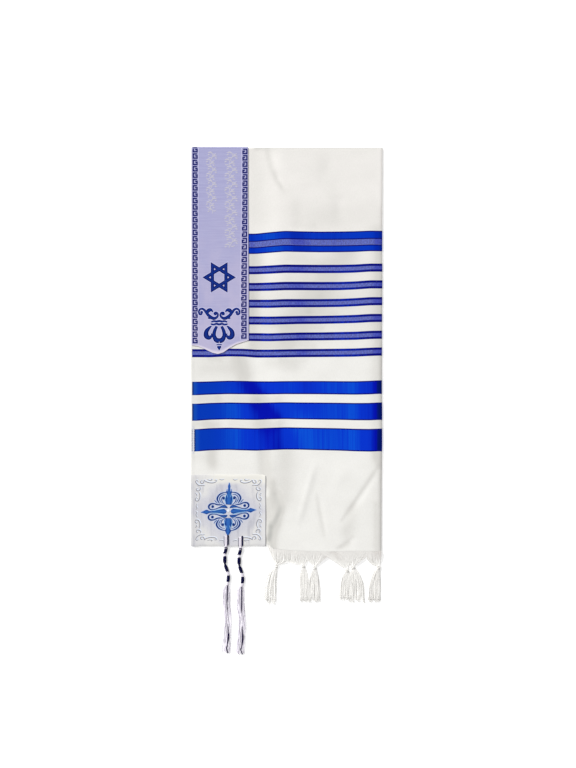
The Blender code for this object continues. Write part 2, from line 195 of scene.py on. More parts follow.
# Short forms for the nodes and links of one node tree.
class Tree:
    def __init__(self, tree):
        self.tree = tree

    def add(self, kind, **settings):
        node = self.tree.nodes.new(kind)
        for key, value in settings.items():
            setattr(node, key, value)
        return node

    def plug(self, node, key, value):
        socket = node.inputs[key]
        if isinstance(value, bpy.types.NodeSocket):
            self.tree.links.new(value, socket)
        else:
            socket.default_value = value

    def math(self, operation, a, b=0.0, clamp=False):
        node = self.add("ShaderNodeMath", operation=operation, use_clamp=clamp)
        for index, value in enumerate((a, b)):
            self.plug(node, index, value)
        return node.outputs[0]

    def times(self, a, b):
        return self.math("MULTIPLY", a, b)

    def plus(self, a, b, clamp=False):
        return self.math("ADD", a, b, clamp=clamp)

    def minus(self, a, b):
        return self.math("SUBTRACT", a, b)

    def absolute(self, a):
        return self.math("ABSOLUTE", a)

    def sine(self, a):
        return self.math("SINE", a)

    def fade(self, value, start, end, low=0.0, high=1.0):
        node = self.add("ShaderNodeMapRange", interpolation_type="SMOOTHSTEP")
        names = ("Value", "From Min", "From Max", "To Min", "To Max")
        for key, setting in zip(names, (value, start, end, low, high)):
            self.plug(node, key, setting)
        return node.outputs[0]

    def mix(self, share, a, b):
        node = self.add("ShaderNodeMix", data_type="RGBA")
        self.plug(node, 0, share)
        self.plug(node, 6, a)
        self.plug(node, 7, b)
        return node.outputs[2]

    def noise(self, vector, scale, detail, rough=0.5):
        node = self.add("ShaderNodeTexNoise")
        self.plug(node, "Vector", vector)
        self.plug(node, "Scale", scale)
        self.plug(node, "Detail", detail)
        self.plug(node, "Roughness", rough)
        return node.outputs["Fac"]

    def stretched(self, vector, x, y):
        node = self.add("ShaderNodeVectorMath", operation="MULTIPLY")
        self.plug(node, 0, vector)
        node.inputs[1].default_value = (x, y, 1.0)
        return node.outputs[0]

    def grain(self, vector, x, y, detail, rough=0.5):
        return self.noise(self.stretched(vector, x, y), 1.0, detail, rough)

    def uv(self):
        node = self.add("ShaderNodeUVMap", uv_map="Thread")
        split = self.add("ShaderNodeSeparateXYZ")
        self.plug(split, 0, node.outputs[0])
        return node.outputs[0], split.outputs[0], split.outputs[1]

    def value(self, name):
        return self.add("ShaderNodeAttribute", attribute_name=name, attribute_type="GEOMETRY").outputs["Fac"]

    def bump(self, height, strength, distance):
        node = self.add("ShaderNodeBump")
        self.plug(node, "Height", height)
        self.plug(node, "Strength", strength)
        self.plug(node, "Distance", distance)
        return node.outputs[0]

    def use(self, group, **inputs):
        node = self.add("ShaderNodeGroup", node_tree=group)
        for key, value in inputs.items():
            self.plug(node, key, value)
        return node


# A node group with a socket for each name: Vector inputs are vectors and all others are numbers.
def newGroup(name, inputs, outputs):
    group = bpy.data.node_groups.new(name, "ShaderNodeTree")
    for key in inputs:
        kind = "NodeSocketVector" if key == "Vector" else "NodeSocketFloat"
        group.interface.new_socket(name=key, in_out="INPUT", socket_type=kind)
    for key in outputs:
        group.interface.new_socket(name=key, in_out="OUTPUT", socket_type="NodeSocketFloat")
    tree = Tree(group)
    return group, tree, tree.add("NodeGroupInput"), tree.add("NodeGroupOutput")


# A material whose even settings are set on the shader itself.
def newMaterial(name, roughness, sheen=0.0, coat=0.0, shine=0.05):
    material = bpy.data.materials.new(name)
    material.use_nodes = True
    shader = material.node_tree.nodes["Principled BSDF"]
    shader.inputs["Roughness"].default_value = roughness
    shader.inputs["Sheen Weight"].default_value = sheen
    shader.inputs["Coat Weight"].default_value = coat
    shader.inputs["Specular IOR Level"].default_value = shine
    return material, Tree(material.node_tree), shader


# Over-and-under threads: two sets of ridges |sin|, each showing where a diagonal wave lets it, as in a twill.
def weaveGroup():
    group, t, given, out = newGroup("woven threads", ["Vector", "Threads"], ["Height", "Shade"])
    split = t.add("ShaderNodeSeparateXYZ")
    t.plug(split, 0, given.outputs["Vector"])
    across = t.times(split.outputs[0], given.outputs["Threads"])
    along = t.times(split.outputs[1], given.outputs["Threads"])
    turn = 2 * np.pi
    warp = t.absolute(t.sine(t.times(across, turn / 2)))
    weft = t.absolute(t.sine(t.times(along, turn / 2)))
    diagonal = t.sine(t.times(t.plus(across, along), turn / 3))
    share = t.fade(diagonal, -0.25, 0.25)
    over = t.times(warp, share)
    under = t.times(weft, t.minus(1.0, share))
    height = t.plus(over, under)
    fleck = t.grain(given.outputs["Vector"], 0.9, 0.13, 3.0)
    t.plug(out, "Height", height)
    t.plug(out, "Shade", t.plus(t.times(height, 0.5), t.times(fleck, 0.5)))
    return group


# 1 within half of a centre, 0 outside, with a soft edge of half a thread.
def bandGroup():
    group, t, given, out = newGroup("woven band", ["Place", "Centre", "Half"], ["Inside"])
    away = t.absolute(t.minus(given.outputs["Place"], given.outputs["Centre"]))
    t.plug(out, "Inside", t.fade(t.minus(away, given.outputs["Half"]), 0.25, -0.25))
    return group


weave = weaveGroup()
band = bandGroup()


# The cloth's form, shared by every piece that lies on it.
frontLow, frontHigh = nodeBox("shawl_front")
bandLow, bandHigh = nodeBox("neckband")
patchLow, patchHigh = nodeBox("corner_patch")

clothForm = {
    "left": frontLow[0],
    "right": frontHigh[0] - 1.7,  # the fold's bulge stays inside the node's box
    "top": frontHigh[1],
    "wall": 1.2,
    "step": 3.0,
    "heightDouble": 3.0,
    "heightFour": 6.6,
    "innerEdge": -37.5,
    "innerSoft": 26.0,
    "innerSoftHigh": 58.0,
    "softenFrom": (-130, 60),
    "swell": 0.22,
    "swellLong": (47, 83),
    "swellPhase": (0.8, 0.4),
    "creaseFrom": (-55, -31),
    "creaseFade": 0.3,
    "leanFrom": 60,
    "leanDown": (60, 200, 260, 330, 470, 515, 575, 640, 780),
    "lean": (0.0, 0.8, 0.4, 1.1, 1.5, 0.9, 0.9, 1.7, 2.3),
    "topPuff": 0.9,
    "selvedgeSpan": (3.2, 6.4),
    "selvedgeRise": 0.35,
    "sideRoll": 9.0,
    "topRollDouble": 3.2,
    "topRollFour": 6.5,
    "rollRows": 9,
}

# The hem's line from the left edge to the right.
hemPlaces = table(("x", "y"), (
    (-187.2, -281.4),
    (-60.0, -281.8),
    (-43.0, -279.0),
    (-36.0, -279.5),
    (-28.0, -287.5),
    (0.0, -290.6),
    (40.0, -292.6),
    (76.0, -293.8),
    (130.0, -292.4),
    (188.2, -293.2),
))

# Creases and bands of light or shade: a line's two ends, its rise and half its width.
creaseColumns = ("x1", "y1", "x2", "y2", "rise", "half")
creases = table(creaseColumns, (
    (-40, 492, -16, 420, -0.5, 8),
    (-24, 446, -3, 406, -1.1, 5),
    (-18, 470, 26, 410, 0.35, 13),
    (82, 472, 66, 416, -0.5, 12),
    (20, 385, 26, 338, -0.9, 15),
    (100, 395, 103, 362, -0.7, 12),
    (-38, 45, -36, -100, -0.45, 20),
    (45, 60, 70, -90, 0.8, 30),
    (-8, -105, -6, -172, -0.4, 15),
    (-23, -165, -27, -232, -1.4, 10),
    (-40, -262, -31, -292, -1.2, 5.5),
    (57, -114, 20, -246, 0.9, 6.5),
    (44, -126, 6, -244, 0.5, 14),
    (60, -184, 76, -264, -0.6, 5.5),
    (184, -129, 110, -238, -0.8, 6.5),
    (160, -200, 124, -250, 0.4, 20),
    (134, -266, 94, -294, -0.5, 5),
    (112, -250, 128, -290, -0.4, 8),
    (116, -130, 84, -190, 0.4, 12),
))


# The share of the way from two layers to four: a smooth step across the inner edge, as broad as innerSoft
# low down and as innerSoftHigh at the top.
def fourDeep(x, y):
    c = clothForm
    half = 0.5 * (c["innerSoft"] + (c["innerSoftHigh"] - c["innerSoft"]) * smoothStep(y, *c["softenFrom"]))
    return smoothStep(x, c["innerEdge"] - half, c["innerEdge"] + half)


# The hem's y at x, straight between its places.
def hemY(x):
    return np.interp(x, [p["x"] for p in hemPlaces], [p["y"] for p in hemPlaces])


# The face's height: double or four deep, with a slow swell, the thicker left edge and the creases.
def clothHeight(x, y):
    c = clothForm
    height = c["heightDouble"] + (c["heightFour"] - c["heightDouble"]) * fourDeep(x, y)
    (longX, longY), (phaseX, phaseY) = c["swellLong"], c["swellPhase"]
    height = height + c["swell"] * np.sin(x / longX + phaseX) * np.sin(y / longY + phaseY)
    selvedge = 1 - smoothStep(x - c["left"], *c["selvedgeSpan"])
    height = height + c["selvedgeRise"] * selvedge
    return height + lineBells(x, y, creases, c["creaseFade"]) * smoothStep(x, *c["creaseFrom"])


# Where a fold's outer edge turns: halfway up.
def rimHeight(x, y):
    c = clothForm
    return 0.5 * (c["heightDouble"] + (c["heightFour"] - c["heightDouble"]) * fourDeep(x, y))


# The front's face sunk by depth. It is level with a quarter-round roll along the right and top folds:
# at a share s of a roll's width from the fold, the height is sqrt(1 - (1 - s)^2) of the way up.
def clothFace(depth, step):
    c = clothForm
    swing = np.linspace(0, np.pi / 2, c["rollRows"] + 1)[1:]
    shares, turn = 1 - np.sin(swing), np.cos(swing)
    flatX = np.linspace(c["left"], c["right"] - c["sideRoll"], int((c["right"] - c["left"]) / step))
    flatX = crisp(flatX, ends=(True, False))
    x = np.concatenate([flatX, c["right"] - depth - (c["sideRoll"] - depth) * shares])
    topRoll = c["topRollDouble"] + (c["topRollFour"] - c["topRollDouble"]) * fourDeep(x, c["top"])
    up = crisp(np.linspace(0, 1, int((c["top"] - hemY(0)) / step)), 0.0005, (True, False))
    low, start = hemY(x), c["top"] - topRoll
    fold = c["top"] + c["topPuff"] - depth
    flatY = low[:, None] + (start - low)[:, None] * up
    y = np.concatenate([flatY, fold - (fold - start)[:, None] * shares], axis=1)
    xx = np.repeat(x[:, None], y.shape[1], axis=1)
    across = np.concatenate([np.ones(len(flatX)), turn])[:, None]
    upward = np.concatenate([np.ones(len(up)), turn])[None, :]
    rim = rimHeight(xx, y) - max(depth - c["wall"], 0)
    z = rim + (clothHeight(xx, y) - depth - rim) * across * upward
    lean = smoothStep(xx, c["leanFrom"], c["right"]) * np.interp(c["top"] - y, c["leanDown"], c["lean"])
    return np.stack([xx - lean, y, z], axis=2)


# How far below straight each stripe lies at places along it, in mm; the first number is its middle's
# distance from the top fold.
stripeSag = {
    "x": (-176, -150, -115, -85, -60, -33, -4, 25, 64, 103, 133, 162, 177),
    "rows": (
        (187, (3.8, 3.8, 3.8, 3.8, 3.8, 1.0, -1.5, -0.6, 0.1, -0.2, -0.7, -1.9, -1.6)),
        (236, (2.2, 2.2, 2.2, 2.2, 2.2, 1.0, -0.6, -0.4, -0.1, -0.2, -0.9, -2.9, -2.8)),
        (269, (2.1, 2.1, 2.1, 2.1, 2.1, 1.4, 0.3, 0.3, 0.6, 0.4, -0.8, -3.0, -2.9)),
        (302, (1.9, 1.9, 1.9, 1.9, 1.9, 2.1, 0.9, 1.0, 0.9, 0.4, -1.1, -3.0, -3.1)),
        (335, (1.7, 1.7, 1.7, 1.7, 1.7, 2.0, 1.6, 0.8, 0.5, -0.4, -1.3, -3.1, -3.3)),
        (367, (1.3, 1.3, 1.3, 1.3, 1.3, 1.9, 0.8, 0.0, -0.2, -0.8, -1.4, -3.0, -3.4)),
        (400, (-0.7, -0.4, -2.2, -1.7, 0.4, 0.3, -0.1, -0.5, -0.8, -1.2, -1.7, -3.1, -3.7)),
        (468, (1.2, 0.3, -0.8, -0.6, -0.2, 0.1, -0.4, -0.6, -0.5, 0.0, 0.3, -0.5, -1.4)),
        (513, (1.9, 0.0, -0.8, -0.2, 0.0, -1.2, -1.8, -0.9, -0.6, -0.2, 0.4, 0.4, -0.5)),
        (568, (1.2, -0.8, -1.9, -0.9, -0.2, -1.4, -2.6, -2.4, -1.3, -0.4, 0.9, 1.5, 0.9)),
    ),
    "margin": 40.0,
    "fine": 2.0,
    "ease": 11,
}


# Along a stripe the sag is a running mean of the straight lines between its places, and between two
# stripes it goes straight from one's to the other's.
def stripeDrop(x, y):
    s = stripeSag
    fine = np.arange(s["x"][0] - s["margin"], s["x"][-1] + s["margin"], s["fine"])
    kernel = np.hanning(s["ease"]) / np.hanning(s["ease"]).sum()
    levels = [level for level, _ in s["rows"]]
    drop = np.zeros(np.shape(x))
    for own, (_, sags) in zip(np.eye(len(levels)), s["rows"]):
        eased = np.convolve(np.interp(fine, s["x"], sags), kernel, "same")
        drop = drop + np.interp(clothForm["top"] - y, levels, own) * np.interp(x, fine, eased)
    return drop


# The stripes, each as its middle from the top fold and half its width, and where their colours change: at
# places down from the top fold, and at places in from the left edge for the dull left part and the cut end.
stripes = {
    "broad": ((171.25, 8.15), (196.6, 6.85)),
    "broadCentre": (184.5, 5.2),
    "firstNarrow": 236.0,
    "narrowPitch": 32.86,
    "narrowCount": 6,
    "narrowHalf": 8.05,
    "narrowCentreHalf": 3.5,
    "solid": ((467.6, 12.9), (513.4, 16.7), (568.4, 21.9)),
    "threads": 1.25,
    "edgeLine": 2.35,
    "dullLeft": (120.0, 20.0),
    "dullTop": (215.0, 225.0),
    "lowBand": (535.0, 545.0),
    "lowBandMargin": 3.9,
    "dyedFrom": (1.7, 2.7),
    "cutPale": (16.0, 7.0),
    "cut": (6.2, 4.8),
    "cutLine": 2.4,
}
clothColours = {
    "white": paint(245, 242, 238),
    "whiteLow": paint(247, 246, 242),
    "bright": paint(262, 259, 255),
    # shadow and fold are painted shade on the white, fold the deeper one in folds and on the rolled edges,
    # and bright is a painted highlight.
    "shadow": paint(218, 216, 211),
    "fold": paint(181, 181, 177),
    # The blues under painted sheen and shade: royalDark in painted shade, royalDeep in deep painted shade on
    # the rolled right edge, royalLight in painted sheen.
    "royal": paint(4, 52, 206),
    "royalDark": paint(0, 14, 172),
    "royalDeep": paint(0, 22, 104),
    "royalLight": paint(8, 84, 216),
    "royalDull": paint(2, 58, 174),
    "edge": paint(4, 10, 118),
    "cut": paint(20, 50, 120),
    "cutPale": paint(24, 82, 180),
    "cutGrey": paint(72, 78, 120),
    "lavender": paint(112, 126, 204),
    "silver": paint(100, 106, 164),
}


# White cloth with woven blue stripes: the white darkens with painted shade and lightens with painted
# highlights, and the blue turns with a painted sheen.
def clothMaterial():
    c, s = clothColours, stripes
    material, t, shader = newMaterial("shawl cloth", 0.82, shine=0.03)
    vector, u, v = t.uv()
    threads = t.use(weave, Vector=vector, Threads=s["threads"])
    height, shade = threads.outputs["Height"], threads.outputs["Shade"]

    def inside(centre, half):
        return t.use(band, Place=v, Centre=centre, Half=half).outputs["Inside"]

    solid = inside(*s["solid"][0])
    middles = inside(s["solid"][0][0], s["solid"][0][1] - s["edgeLine"])
    for centre, half in s["solid"][1:] + s["broad"]:
        solid = t.math("MAXIMUM", solid, inside(centre, half))
        middles = t.math("MAXIMUM", middles, inside(centre, half - s["edgeLine"]))
    rimmed = t.minus(solid, middles)
    last = s["firstNarrow"] + s["narrowPitch"] * (s["narrowCount"] - 0.5)
    start = s["firstNarrow"] - s["narrowPitch"] / 2
    amongNarrow = t.times(t.math("GREATER_THAN", v, start), t.math("LESS_THAN", v, last))
    phase = t.math("FLOORED_MODULO", t.minus(v, start), s["narrowPitch"])
    middle = s["narrowPitch"] / 2
    narrow = t.times(amongNarrow, t.use(band, Place=phase, Centre=middle, Half=s["narrowHalf"]).outputs[0])
    core = t.use(band, Place=phase, Centre=middle, Half=s["narrowCentreHalf"]).outputs[0]
    core = t.math("MAXIMUM", t.times(amongNarrow, core), inside(*s["broadCentre"]))

    # The white, darker with painted shade, random mottle and painted shade in the weave's low threads, and
    # brighter with painted highlights where the painted shading is below 0.
    streak = t.grain(vector, 0.32, 0.004, 4.0, 0.6)
    bolt = t.grain(vector, 0.02, 0.03, 2.0)
    dim = t.plus(t.value("paintedShading"), t.times(t.minus(1.05, bolt), 0.35))
    mottle = t.grain(vector, 0.3, 0.42, 4.0, 0.75)
    dim = t.plus(dim, t.times(t.minus(0.5, mottle), 0.55))
    dim = t.plus(dim, t.times(t.minus(0.62, shade), 0.7), clamp=True)
    white = t.mix(t.fade(v, 200.0, 460.0), c["white"], c["whiteLow"])
    white = t.mix(dim, white, c["shadow"])
    # Deeper painted shade in folds and rolls, then painted highlights where the painted shading is below 0.
    white = t.mix(t.fade(t.value("paintedShading"), 0.9, 2.0), white, c["fold"])
    white = t.mix(t.fade(t.value("paintedShading"), -0.1, -1.1), white, c["bright"])
    # The dyed threads, from deep to light blue with painted shade and painted sheen, and the narrow stripes'
    # paler middles.
    sheen = t.plus(t.value("sheen"), t.times(t.minus(streak, 0.5), 1.4))
    blue = t.mix(t.fade(sheen, -1.0, 0.1), c["royalDark"], c["royal"])
    blue = t.mix(t.fade(sheen, 0.1, 0.9), blue, c["royalLight"])
    blue = t.mix(t.fade(sheen, -1.1, -1.9), blue, c["royalDeep"])
    blue = t.mix(t.fade(u, *s["dullLeft"], 0.0, 0.75), blue, c["royalDull"])
    blue = t.mix(t.fade(v, *s["dullTop"], 0.45, 0.0), blue, c["royalDull"])
    blue = t.mix(rimmed, blue, c["edge"])
    dash = t.grain(vector, 0.55, 0.25, 2.0)
    pale = t.mix(t.fade(dash, 0.42, 0.6), c["silver"], c["lavender"])
    pale = t.mix(t.times(t.fade(height, 0.25, 0.75), 0.25), pale, c["royalDark"])
    pale = t.mix(t.fade(sheen, -0.1, -0.9, 0.0, 0.45), pale, c["royalDark"])
    edge = t.mix(t.fade(sheen, -0.2, 1.2), c["edge"], c["royal"])
    # At the left edge the stripes start a little in, with a darker cut end.
    lowBand = t.fade(v, *s["lowBand"])
    fromEnd = t.minus(u, t.times(lowBand, s["lowBandMargin"]))
    inner = t.fade(fromEnd, *s["dyedFrom"])
    blue = t.mix(t.fade(fromEnd, *s["cutPale"], 0.0, 0.7), blue, c["cutPale"])
    blue = t.mix(t.fade(fromEnd, *s["cut"], 0.0, 0.8), blue, c["cut"])
    line = t.fade(t.absolute(t.minus(u, s["cutLine"])), 1.3, 0.5)
    line = t.times(t.times(line, lowBand), solid)
    white = t.mix(line, white, c["cutGrey"])
    solid, narrow, core = (t.times(inner, share) for share in (solid, narrow, core))
    colour = t.mix(solid, white, blue)
    colour = t.mix(narrow, colour, edge)
    colour = t.mix(core, colour, pale)
    t.plug(shader, "Base Color", colour)
    dyed = t.math("MAXIMUM", solid, narrow)
    t.plug(shader, "Roughness", t.fade(dyed, 0.0, 1.0, 0.86, 0.55))
    fuzz = t.noise(vector, 0.8, 5.0, 0.7)
    relief = t.plus(height, t.times(fuzz, 0.8))
    t.plug(shader, "Normal", t.bump(relief, 0.35, 0.00025))
    return material


# Painted sheen and shade on the dyed threads, as if they caught the light: shaded below 0 and bright above.
sheenRows = table(creaseColumns, (
    (-70, 335, -66, 285, -0.55, 9),
    (-40, 330, -20, 290, 0.65, 22),
    (18, 330, 30, 285, -0.95, 22),
    (90, 335, 95, 285, -0.35, 30),
    (150, 335, 152, 285, 0.15, 20),
    (-60, 250, -62, 90, -0.5, 10),
    (-44, 250, -40, 100, 0.3, 18),
    (16, 250, 26, 90, -0.65, 24),
    (110, 250, 116, 90, 0.35, 34),
    (182, 335, 182, 90, -1.3, 14),
    (-182, 38, -182, -95, -0.15, 10),
    (-128, 38, -128, 13, 0.1, 24),
    (-108, -4, -104, -95, 0.65, 24),
    (-74, 38, -63, 13, -1.0, 16),
    (-92, 38, -84, 13, -0.3, 16),
    (-50, -4, -24, -36, -0.9, 18),
    (-62, -4, -54, -36, -0.4, 20),
    (-34, -55, -24, -96, -0.75, 24),
    (4, 38, 8, -36, 0.25, 22),
    (34, -55, 44, -95, 0.6, 30),
    (84, 40, 100, -95, 0.42, 34),
    (126, 38, 132, -95, 0.5, 13),
    (40, 38, 46, 13, -0.35, 20),
    (156, 38, 154, -30, -0.25, 10),
    (181, 40, 181, -95, -1.9, 12),
))


# Painted shade on the white where a row's rise is above 0, and painted highlight where it is below 0.
paintedShadingRows = table(creaseColumns, (
    (-165, 70, -110, 68, 0.25, 34),
    (-150, 84, -130, 82, 0.3, 7),
    (-94, 84, -84, 50, 0.95, 15),
    (-160, 62, -110, 62, 0.2, 12),
    (-36, 74, 14, 68, 0.4, 14),
    (-12, 80, 34, 78, 0.25, 7),
    (-133, 8, -131, 2, 0.3, 7),
    (-54, 8, -52, 2, 0.55, 12),
    (-46, -42, -42, -52, 0.5, 14),
    (-170, 6, -70, 4, 0.25, 16),
    (-147, -98, -145, -122, 0.7, 12),
    (-182, -108, -150, -110, 0.25, 10),
    (-168, 4, -140, 4, 0.35, 9),
    (-96, 4, -60, 2, 0.2, 11),
    (-62, 2, -20, 2, 0.5, 11),
    (-178, -46, -136, -46, 0.45, 9),
    (-104, -46, -72, -46, 0.25, 11),
    (-56, -46, -14, -46, 0.55, 12),
    (-38, -100, -34, -160, 0.6, 10),
    (-2, -102, -4, -190, 0.5, 20),
    (-50, -100, -46, -160, 0.5, 11),
    (-156, -44, -150, -52, 0.4, 12),
    (-58, 480, -50, 350, 0.2, 20),
    (-18, 470, 24, 412, -0.1, 12),
    (30, 362, 90, 354, 0.3, 22),
    (18, 342, 50, 342, 0.2, 9),
    (70, 470, 84, 420, 0.2, 18),
    (100, 364, 165, 356, 0.15, 24),
    (185, 500, 185, 330, -0.6, 6),
    (184, 372, 184, 340, 0.25, 9),
    (176, 330, 176, -110, 0.5, 14),
    (-60, 496, 190, 496, 2.1, 5.2),
    (112, 286, 10, 140, 0.8, 25),
    (10, 284, 66, 262, 0.35, 20),
    (-68, 300, -68, 158, 1.0, 12),
    (-54, 296, -50, 240, 0.35, 11),
    (-68, 138, -68, 100, 0.5, 11),
    (-56, 110, -2, 110, 0.65, 14),
    (12, 108, 50, 108, 0.3, 10),
    (-46, 146, -6, 146, 0.3, 11),
    (-40, 182, 150, 182, 0.3, 62),
    (176.5, 290, 176.5, 110, 0.45, 5),
    (70, 200, 110, 192, 0.3, 12),
    (45, 172, 92, 170, 0.3, 10),
    (34, 141, 66, 141, 0.3, 9),
    (5, 240, 35, 240, 0.3, 11),
    (172, -98, 180, -126, 0.5, 7),
    (179, -125, 106, -233, 0.35, 3.5),
    (128, -264, 98, -287, 0.2, 3),
    (120, -277, 106, -286, 0.45, 5),
    (173, -200, 173, -290, 0.3, 5),
    (58, -184, 72, -262, 0.25, 4),
    (128, -212, 118, -258, 0.45, 13),
    (184.5, 100, 184.5, -290, 0.35, 6),
    (178, -150, 178, -290, 0.25, 16),
))

# Painted shade along folds that bend.
paintedShadeLines = (
    {"rise": 0.35, "half": 6.0, "corners": ((-38, 488), (-31, 456), (-19, 428), (-5, 410))},
    {"rise": 0.4, "half": 8.0, "corners": ((-10, -210), (-19, -222), (-31, -242))},
    {
        "rise": 0.5,
        "half": 7.0,
        "corners": ((-29, -160), (-30, -187), (-27, -199), (-24, -212), (-22, -222), (-26, -236)),
    },
    {
        "rise": 0.9,
        "half": 9.0,
        "corners": ((-22, -182), (-17, -200), (-14, -216), (-19, -240), (-27, -262), (-28, -288)),
    },
    {"rise": 0.85, "half": 7.5, "corners": ((-40, -194), (-38, -216), (-36, -236), (-36, -256), (-36, -268))},
    {"rise": 0.6, "half": 5.5, "corners": ((-31, -246), (-33, -258), (-36, -270), (-32, -280), (-27, -290))},
)


# The slab between the cloth's face and the same face one wall down. Its thread map is mm from the left
# edge and mm down from the top fold, less the stripes' sag.
def addShawl(material):
    c = clothForm
    upper, lower = clothFace(0.0, c["step"]), clothFace(c["wall"], c["step"])
    x, y = upper[..., 0], upper[..., 1]
    points, faces = slabArrays(upper, lower)
    uv = np.stack([x - c["left"], c["top"] - y - stripeDrop(x, y)], axis=2).reshape(-1, 2)
    # Painted sheen and painted shade on the blue at each point.
    sheen = lineBells(x, y, sheenRows)
    # Painted shade and painted highlights on the white at each point.
    paintedShading = lineBells(x, y, paintedShadingRows) + bentBells(x, y, paintedShadeLines)
    values = {"sheen": np.tile(sheen.ravel(), 2), "paintedShading": np.tile(paintedShading.ravel(), 2)}
    piece = addMesh("shawl_cloth", points, faces, material, np.tile(uv, (2, 1)), values)
    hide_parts("shawl_front")
    return piece


layersForm = {
    "gap": 0.3,
    "step": 5.0,
    "inset": 2.2,
    "fade": 30.0,
    "rimRows": 15,
    "proud": 1.15,
    "groove": 0.8,
    "cutEdge": 0.8,
    "bulgeSquare": 2.2,
    # An even painted shade on the hidden layers, on the blue and on the white.
    "sheen": -0.2,
    "paintedShading": 0.5,
}


# The hidden layers as one solid: a top under the cloth's wall, a flat underside, and a rim that bulges by
# sqrt(1 - 0.8 |2 s - 1|^2.2) at a share s of its height, grooved where layer meets layer.
def addLayers(material):
    c, f = clothForm, layersForm
    top = clothFace(c["wall"] + f["gap"], f["step"])
    top[..., 0] += f["inset"] * (1 - smoothStep(top[..., 0] - c["left"], 0, f["fade"]))
    top[..., 1] += f["inset"] * (1 - smoothStep(top[..., 1] - hemY(top[..., 0]), 0, f["fade"]))
    columns, rows = top.shape[:2]
    ring = gridBorder(columns, rows)
    edge = top.reshape(-1, 3)[ring]
    i, j = ring // rows, ring % rows
    cutEdge = f["cutEdge"]
    out = np.stack([(i == columns - 1) - cutEdge * (i == 0), (j == rows - 1) - cutEdge * (j == 0)], axis=1)
    share = np.linspace(1, 0, f["rimRows"] + 1)[1:]
    bulge = f["proud"] * np.sqrt(1 - np.abs(2 * share - 1) ** f["bulgeSquare"] * 0.8)
    layers = np.abs(np.sin(np.pi * share * 2.0)) ** 0.5
    deep = fourDeep(edge[:, 0], edge[:, 1])[:, None]
    reach = bulge - f["groove"] * (1 - layers) * deep * np.minimum(1, 6 * share * (1 - share))
    rim = np.repeat(edge[:, None], len(share), axis=1)
    rim[..., :2] += out[:, None] * reach[..., None]
    rim[..., 2] = edge[:, 2:3] * share
    count, n, m = columns * rows, len(ring), len(share)
    levels = np.concatenate([ring[:, None], count + np.arange(n * m).reshape(n, m)], axis=1)
    after = np.roll(levels, -1, axis=0)
    side = np.stack([levels[:, :-1], levels[:, 1:], after[:, 1:], after[:, :-1]], axis=2).reshape(-1, 4)
    base = top.copy().reshape(-1, 3)
    base[:, 2] = 0
    base[ring] = rim[:, -1]
    first = count + n * m
    bottom = gridFaces(columns, rows, first, True)
    weld = np.arange(first + count)
    weld[first + ring] = levels[:, -1]
    points = np.concatenate([top.reshape(-1, 3), rim.reshape(-1, 3), base])
    faces = weld[np.concatenate([gridFaces(columns, rows), side, bottom])]
    used, faces = np.unique(faces, return_inverse=True)
    points, faces = points[used], faces.reshape(-1, 4)
    x, y = points[:, 0], points[:, 1]
    uv = np.stack([x - c["left"], c["top"] - y - stripeDrop(x, y)], axis=1)
    values = {"sheen": np.full(len(x), f["sheen"]), "paintedShading": np.full(len(x), f["paintedShading"])}
    piece = addMesh("hidden_layers", points, faces, material, uv, values)
    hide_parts("shawl_layers")


# A grid of points with its normals, to lay ornament on: xs and ss are the places of its columns and rows.
class Surface:
    def __init__(self, points, xs, ss):
        self.points, self.xs, self.ss = points, xs, ss
        du, dv = np.gradient(points, axis=0), np.gradient(points, axis=1)
        normal = np.cross(du, dv)
        size = np.linalg.norm(normal, axis=2, keepdims=True)
        self.normals = normal / size * np.sign(normal[..., 2].mean())

    # Bilinear between the grid's points, then out along the normal by lift.
    def at(self, x, s, lift):
        fx = np.interp(x, self.xs, np.arange(len(self.xs)))
        fs = np.interp(s, self.ss, np.arange(len(self.ss)))
        i = np.minimum(fx.astype(int), len(self.xs) - 2)
        j = np.minimum(fs.astype(int), len(self.ss) - 2)
        a, b = (fx - i)[..., None], (fs - j)[..., None]

        def blend(g):
            near = g[i, j] * (1 - a) + g[i + 1, j] * a
            far = g[i, j + 1] * (1 - a) + g[i + 1, j + 1] * a
            return near * (1 - b) + far * b

        return blend(self.points) + blend(self.normals) * np.asarray(lift)[..., None]


# A raised strip between two edges (n, 2), five points across: its sides are at lift[0] above the
# surface and its middle at lift[1].
def stripBetween(surface, left, right, lift):
    across = np.array([0.0, 0.14, 0.5, 0.86, 1.0])
    lifts = lift[0] + (lift[1] - lift[0]) * np.array([0, 0.8, 1.0, 0.8, 0])
    place = left[:, None] * (1 - across[:, None]) + right[:, None] * across[:, None]
    points = surface.at(place[..., 0], place[..., 1], np.broadcast_to(lifts, place.shape[:2]))
    middle = place[:, 2]
    v = np.cumsum(np.linalg.norm(np.diff(middle, axis=0, prepend=middle[:1]), axis=1))
    uv = np.stack(np.broadcast_arrays(across[None, :], v[:, None]), axis=2)
    a, b = np.diff(points[:, 2], axis=0), (points[:, 4] - points[:, 0])[1:]
    down = (a[:, 0] * b[:, 1] - a[:, 1] * b[:, 0]).sum() < 0
    return points.reshape(-1, 3), gridFaces(len(left), len(across), 0, down), uv.reshape(-1, 2)


# A strip of the given widths with a path along its middle.
def stroke(surface, path, width, lift):
    tangent = np.gradient(path, axis=0)
    tangent /= np.linalg.norm(tangent, axis=1, keepdims=True) + 1e-9
    side = np.stack([-tangent[:, 1], tangent[:, 0]], axis=1) * np.broadcast_to(width, len(path))[:, None] / 2
    return stripBetween(surface, path - side, path + side, lift)


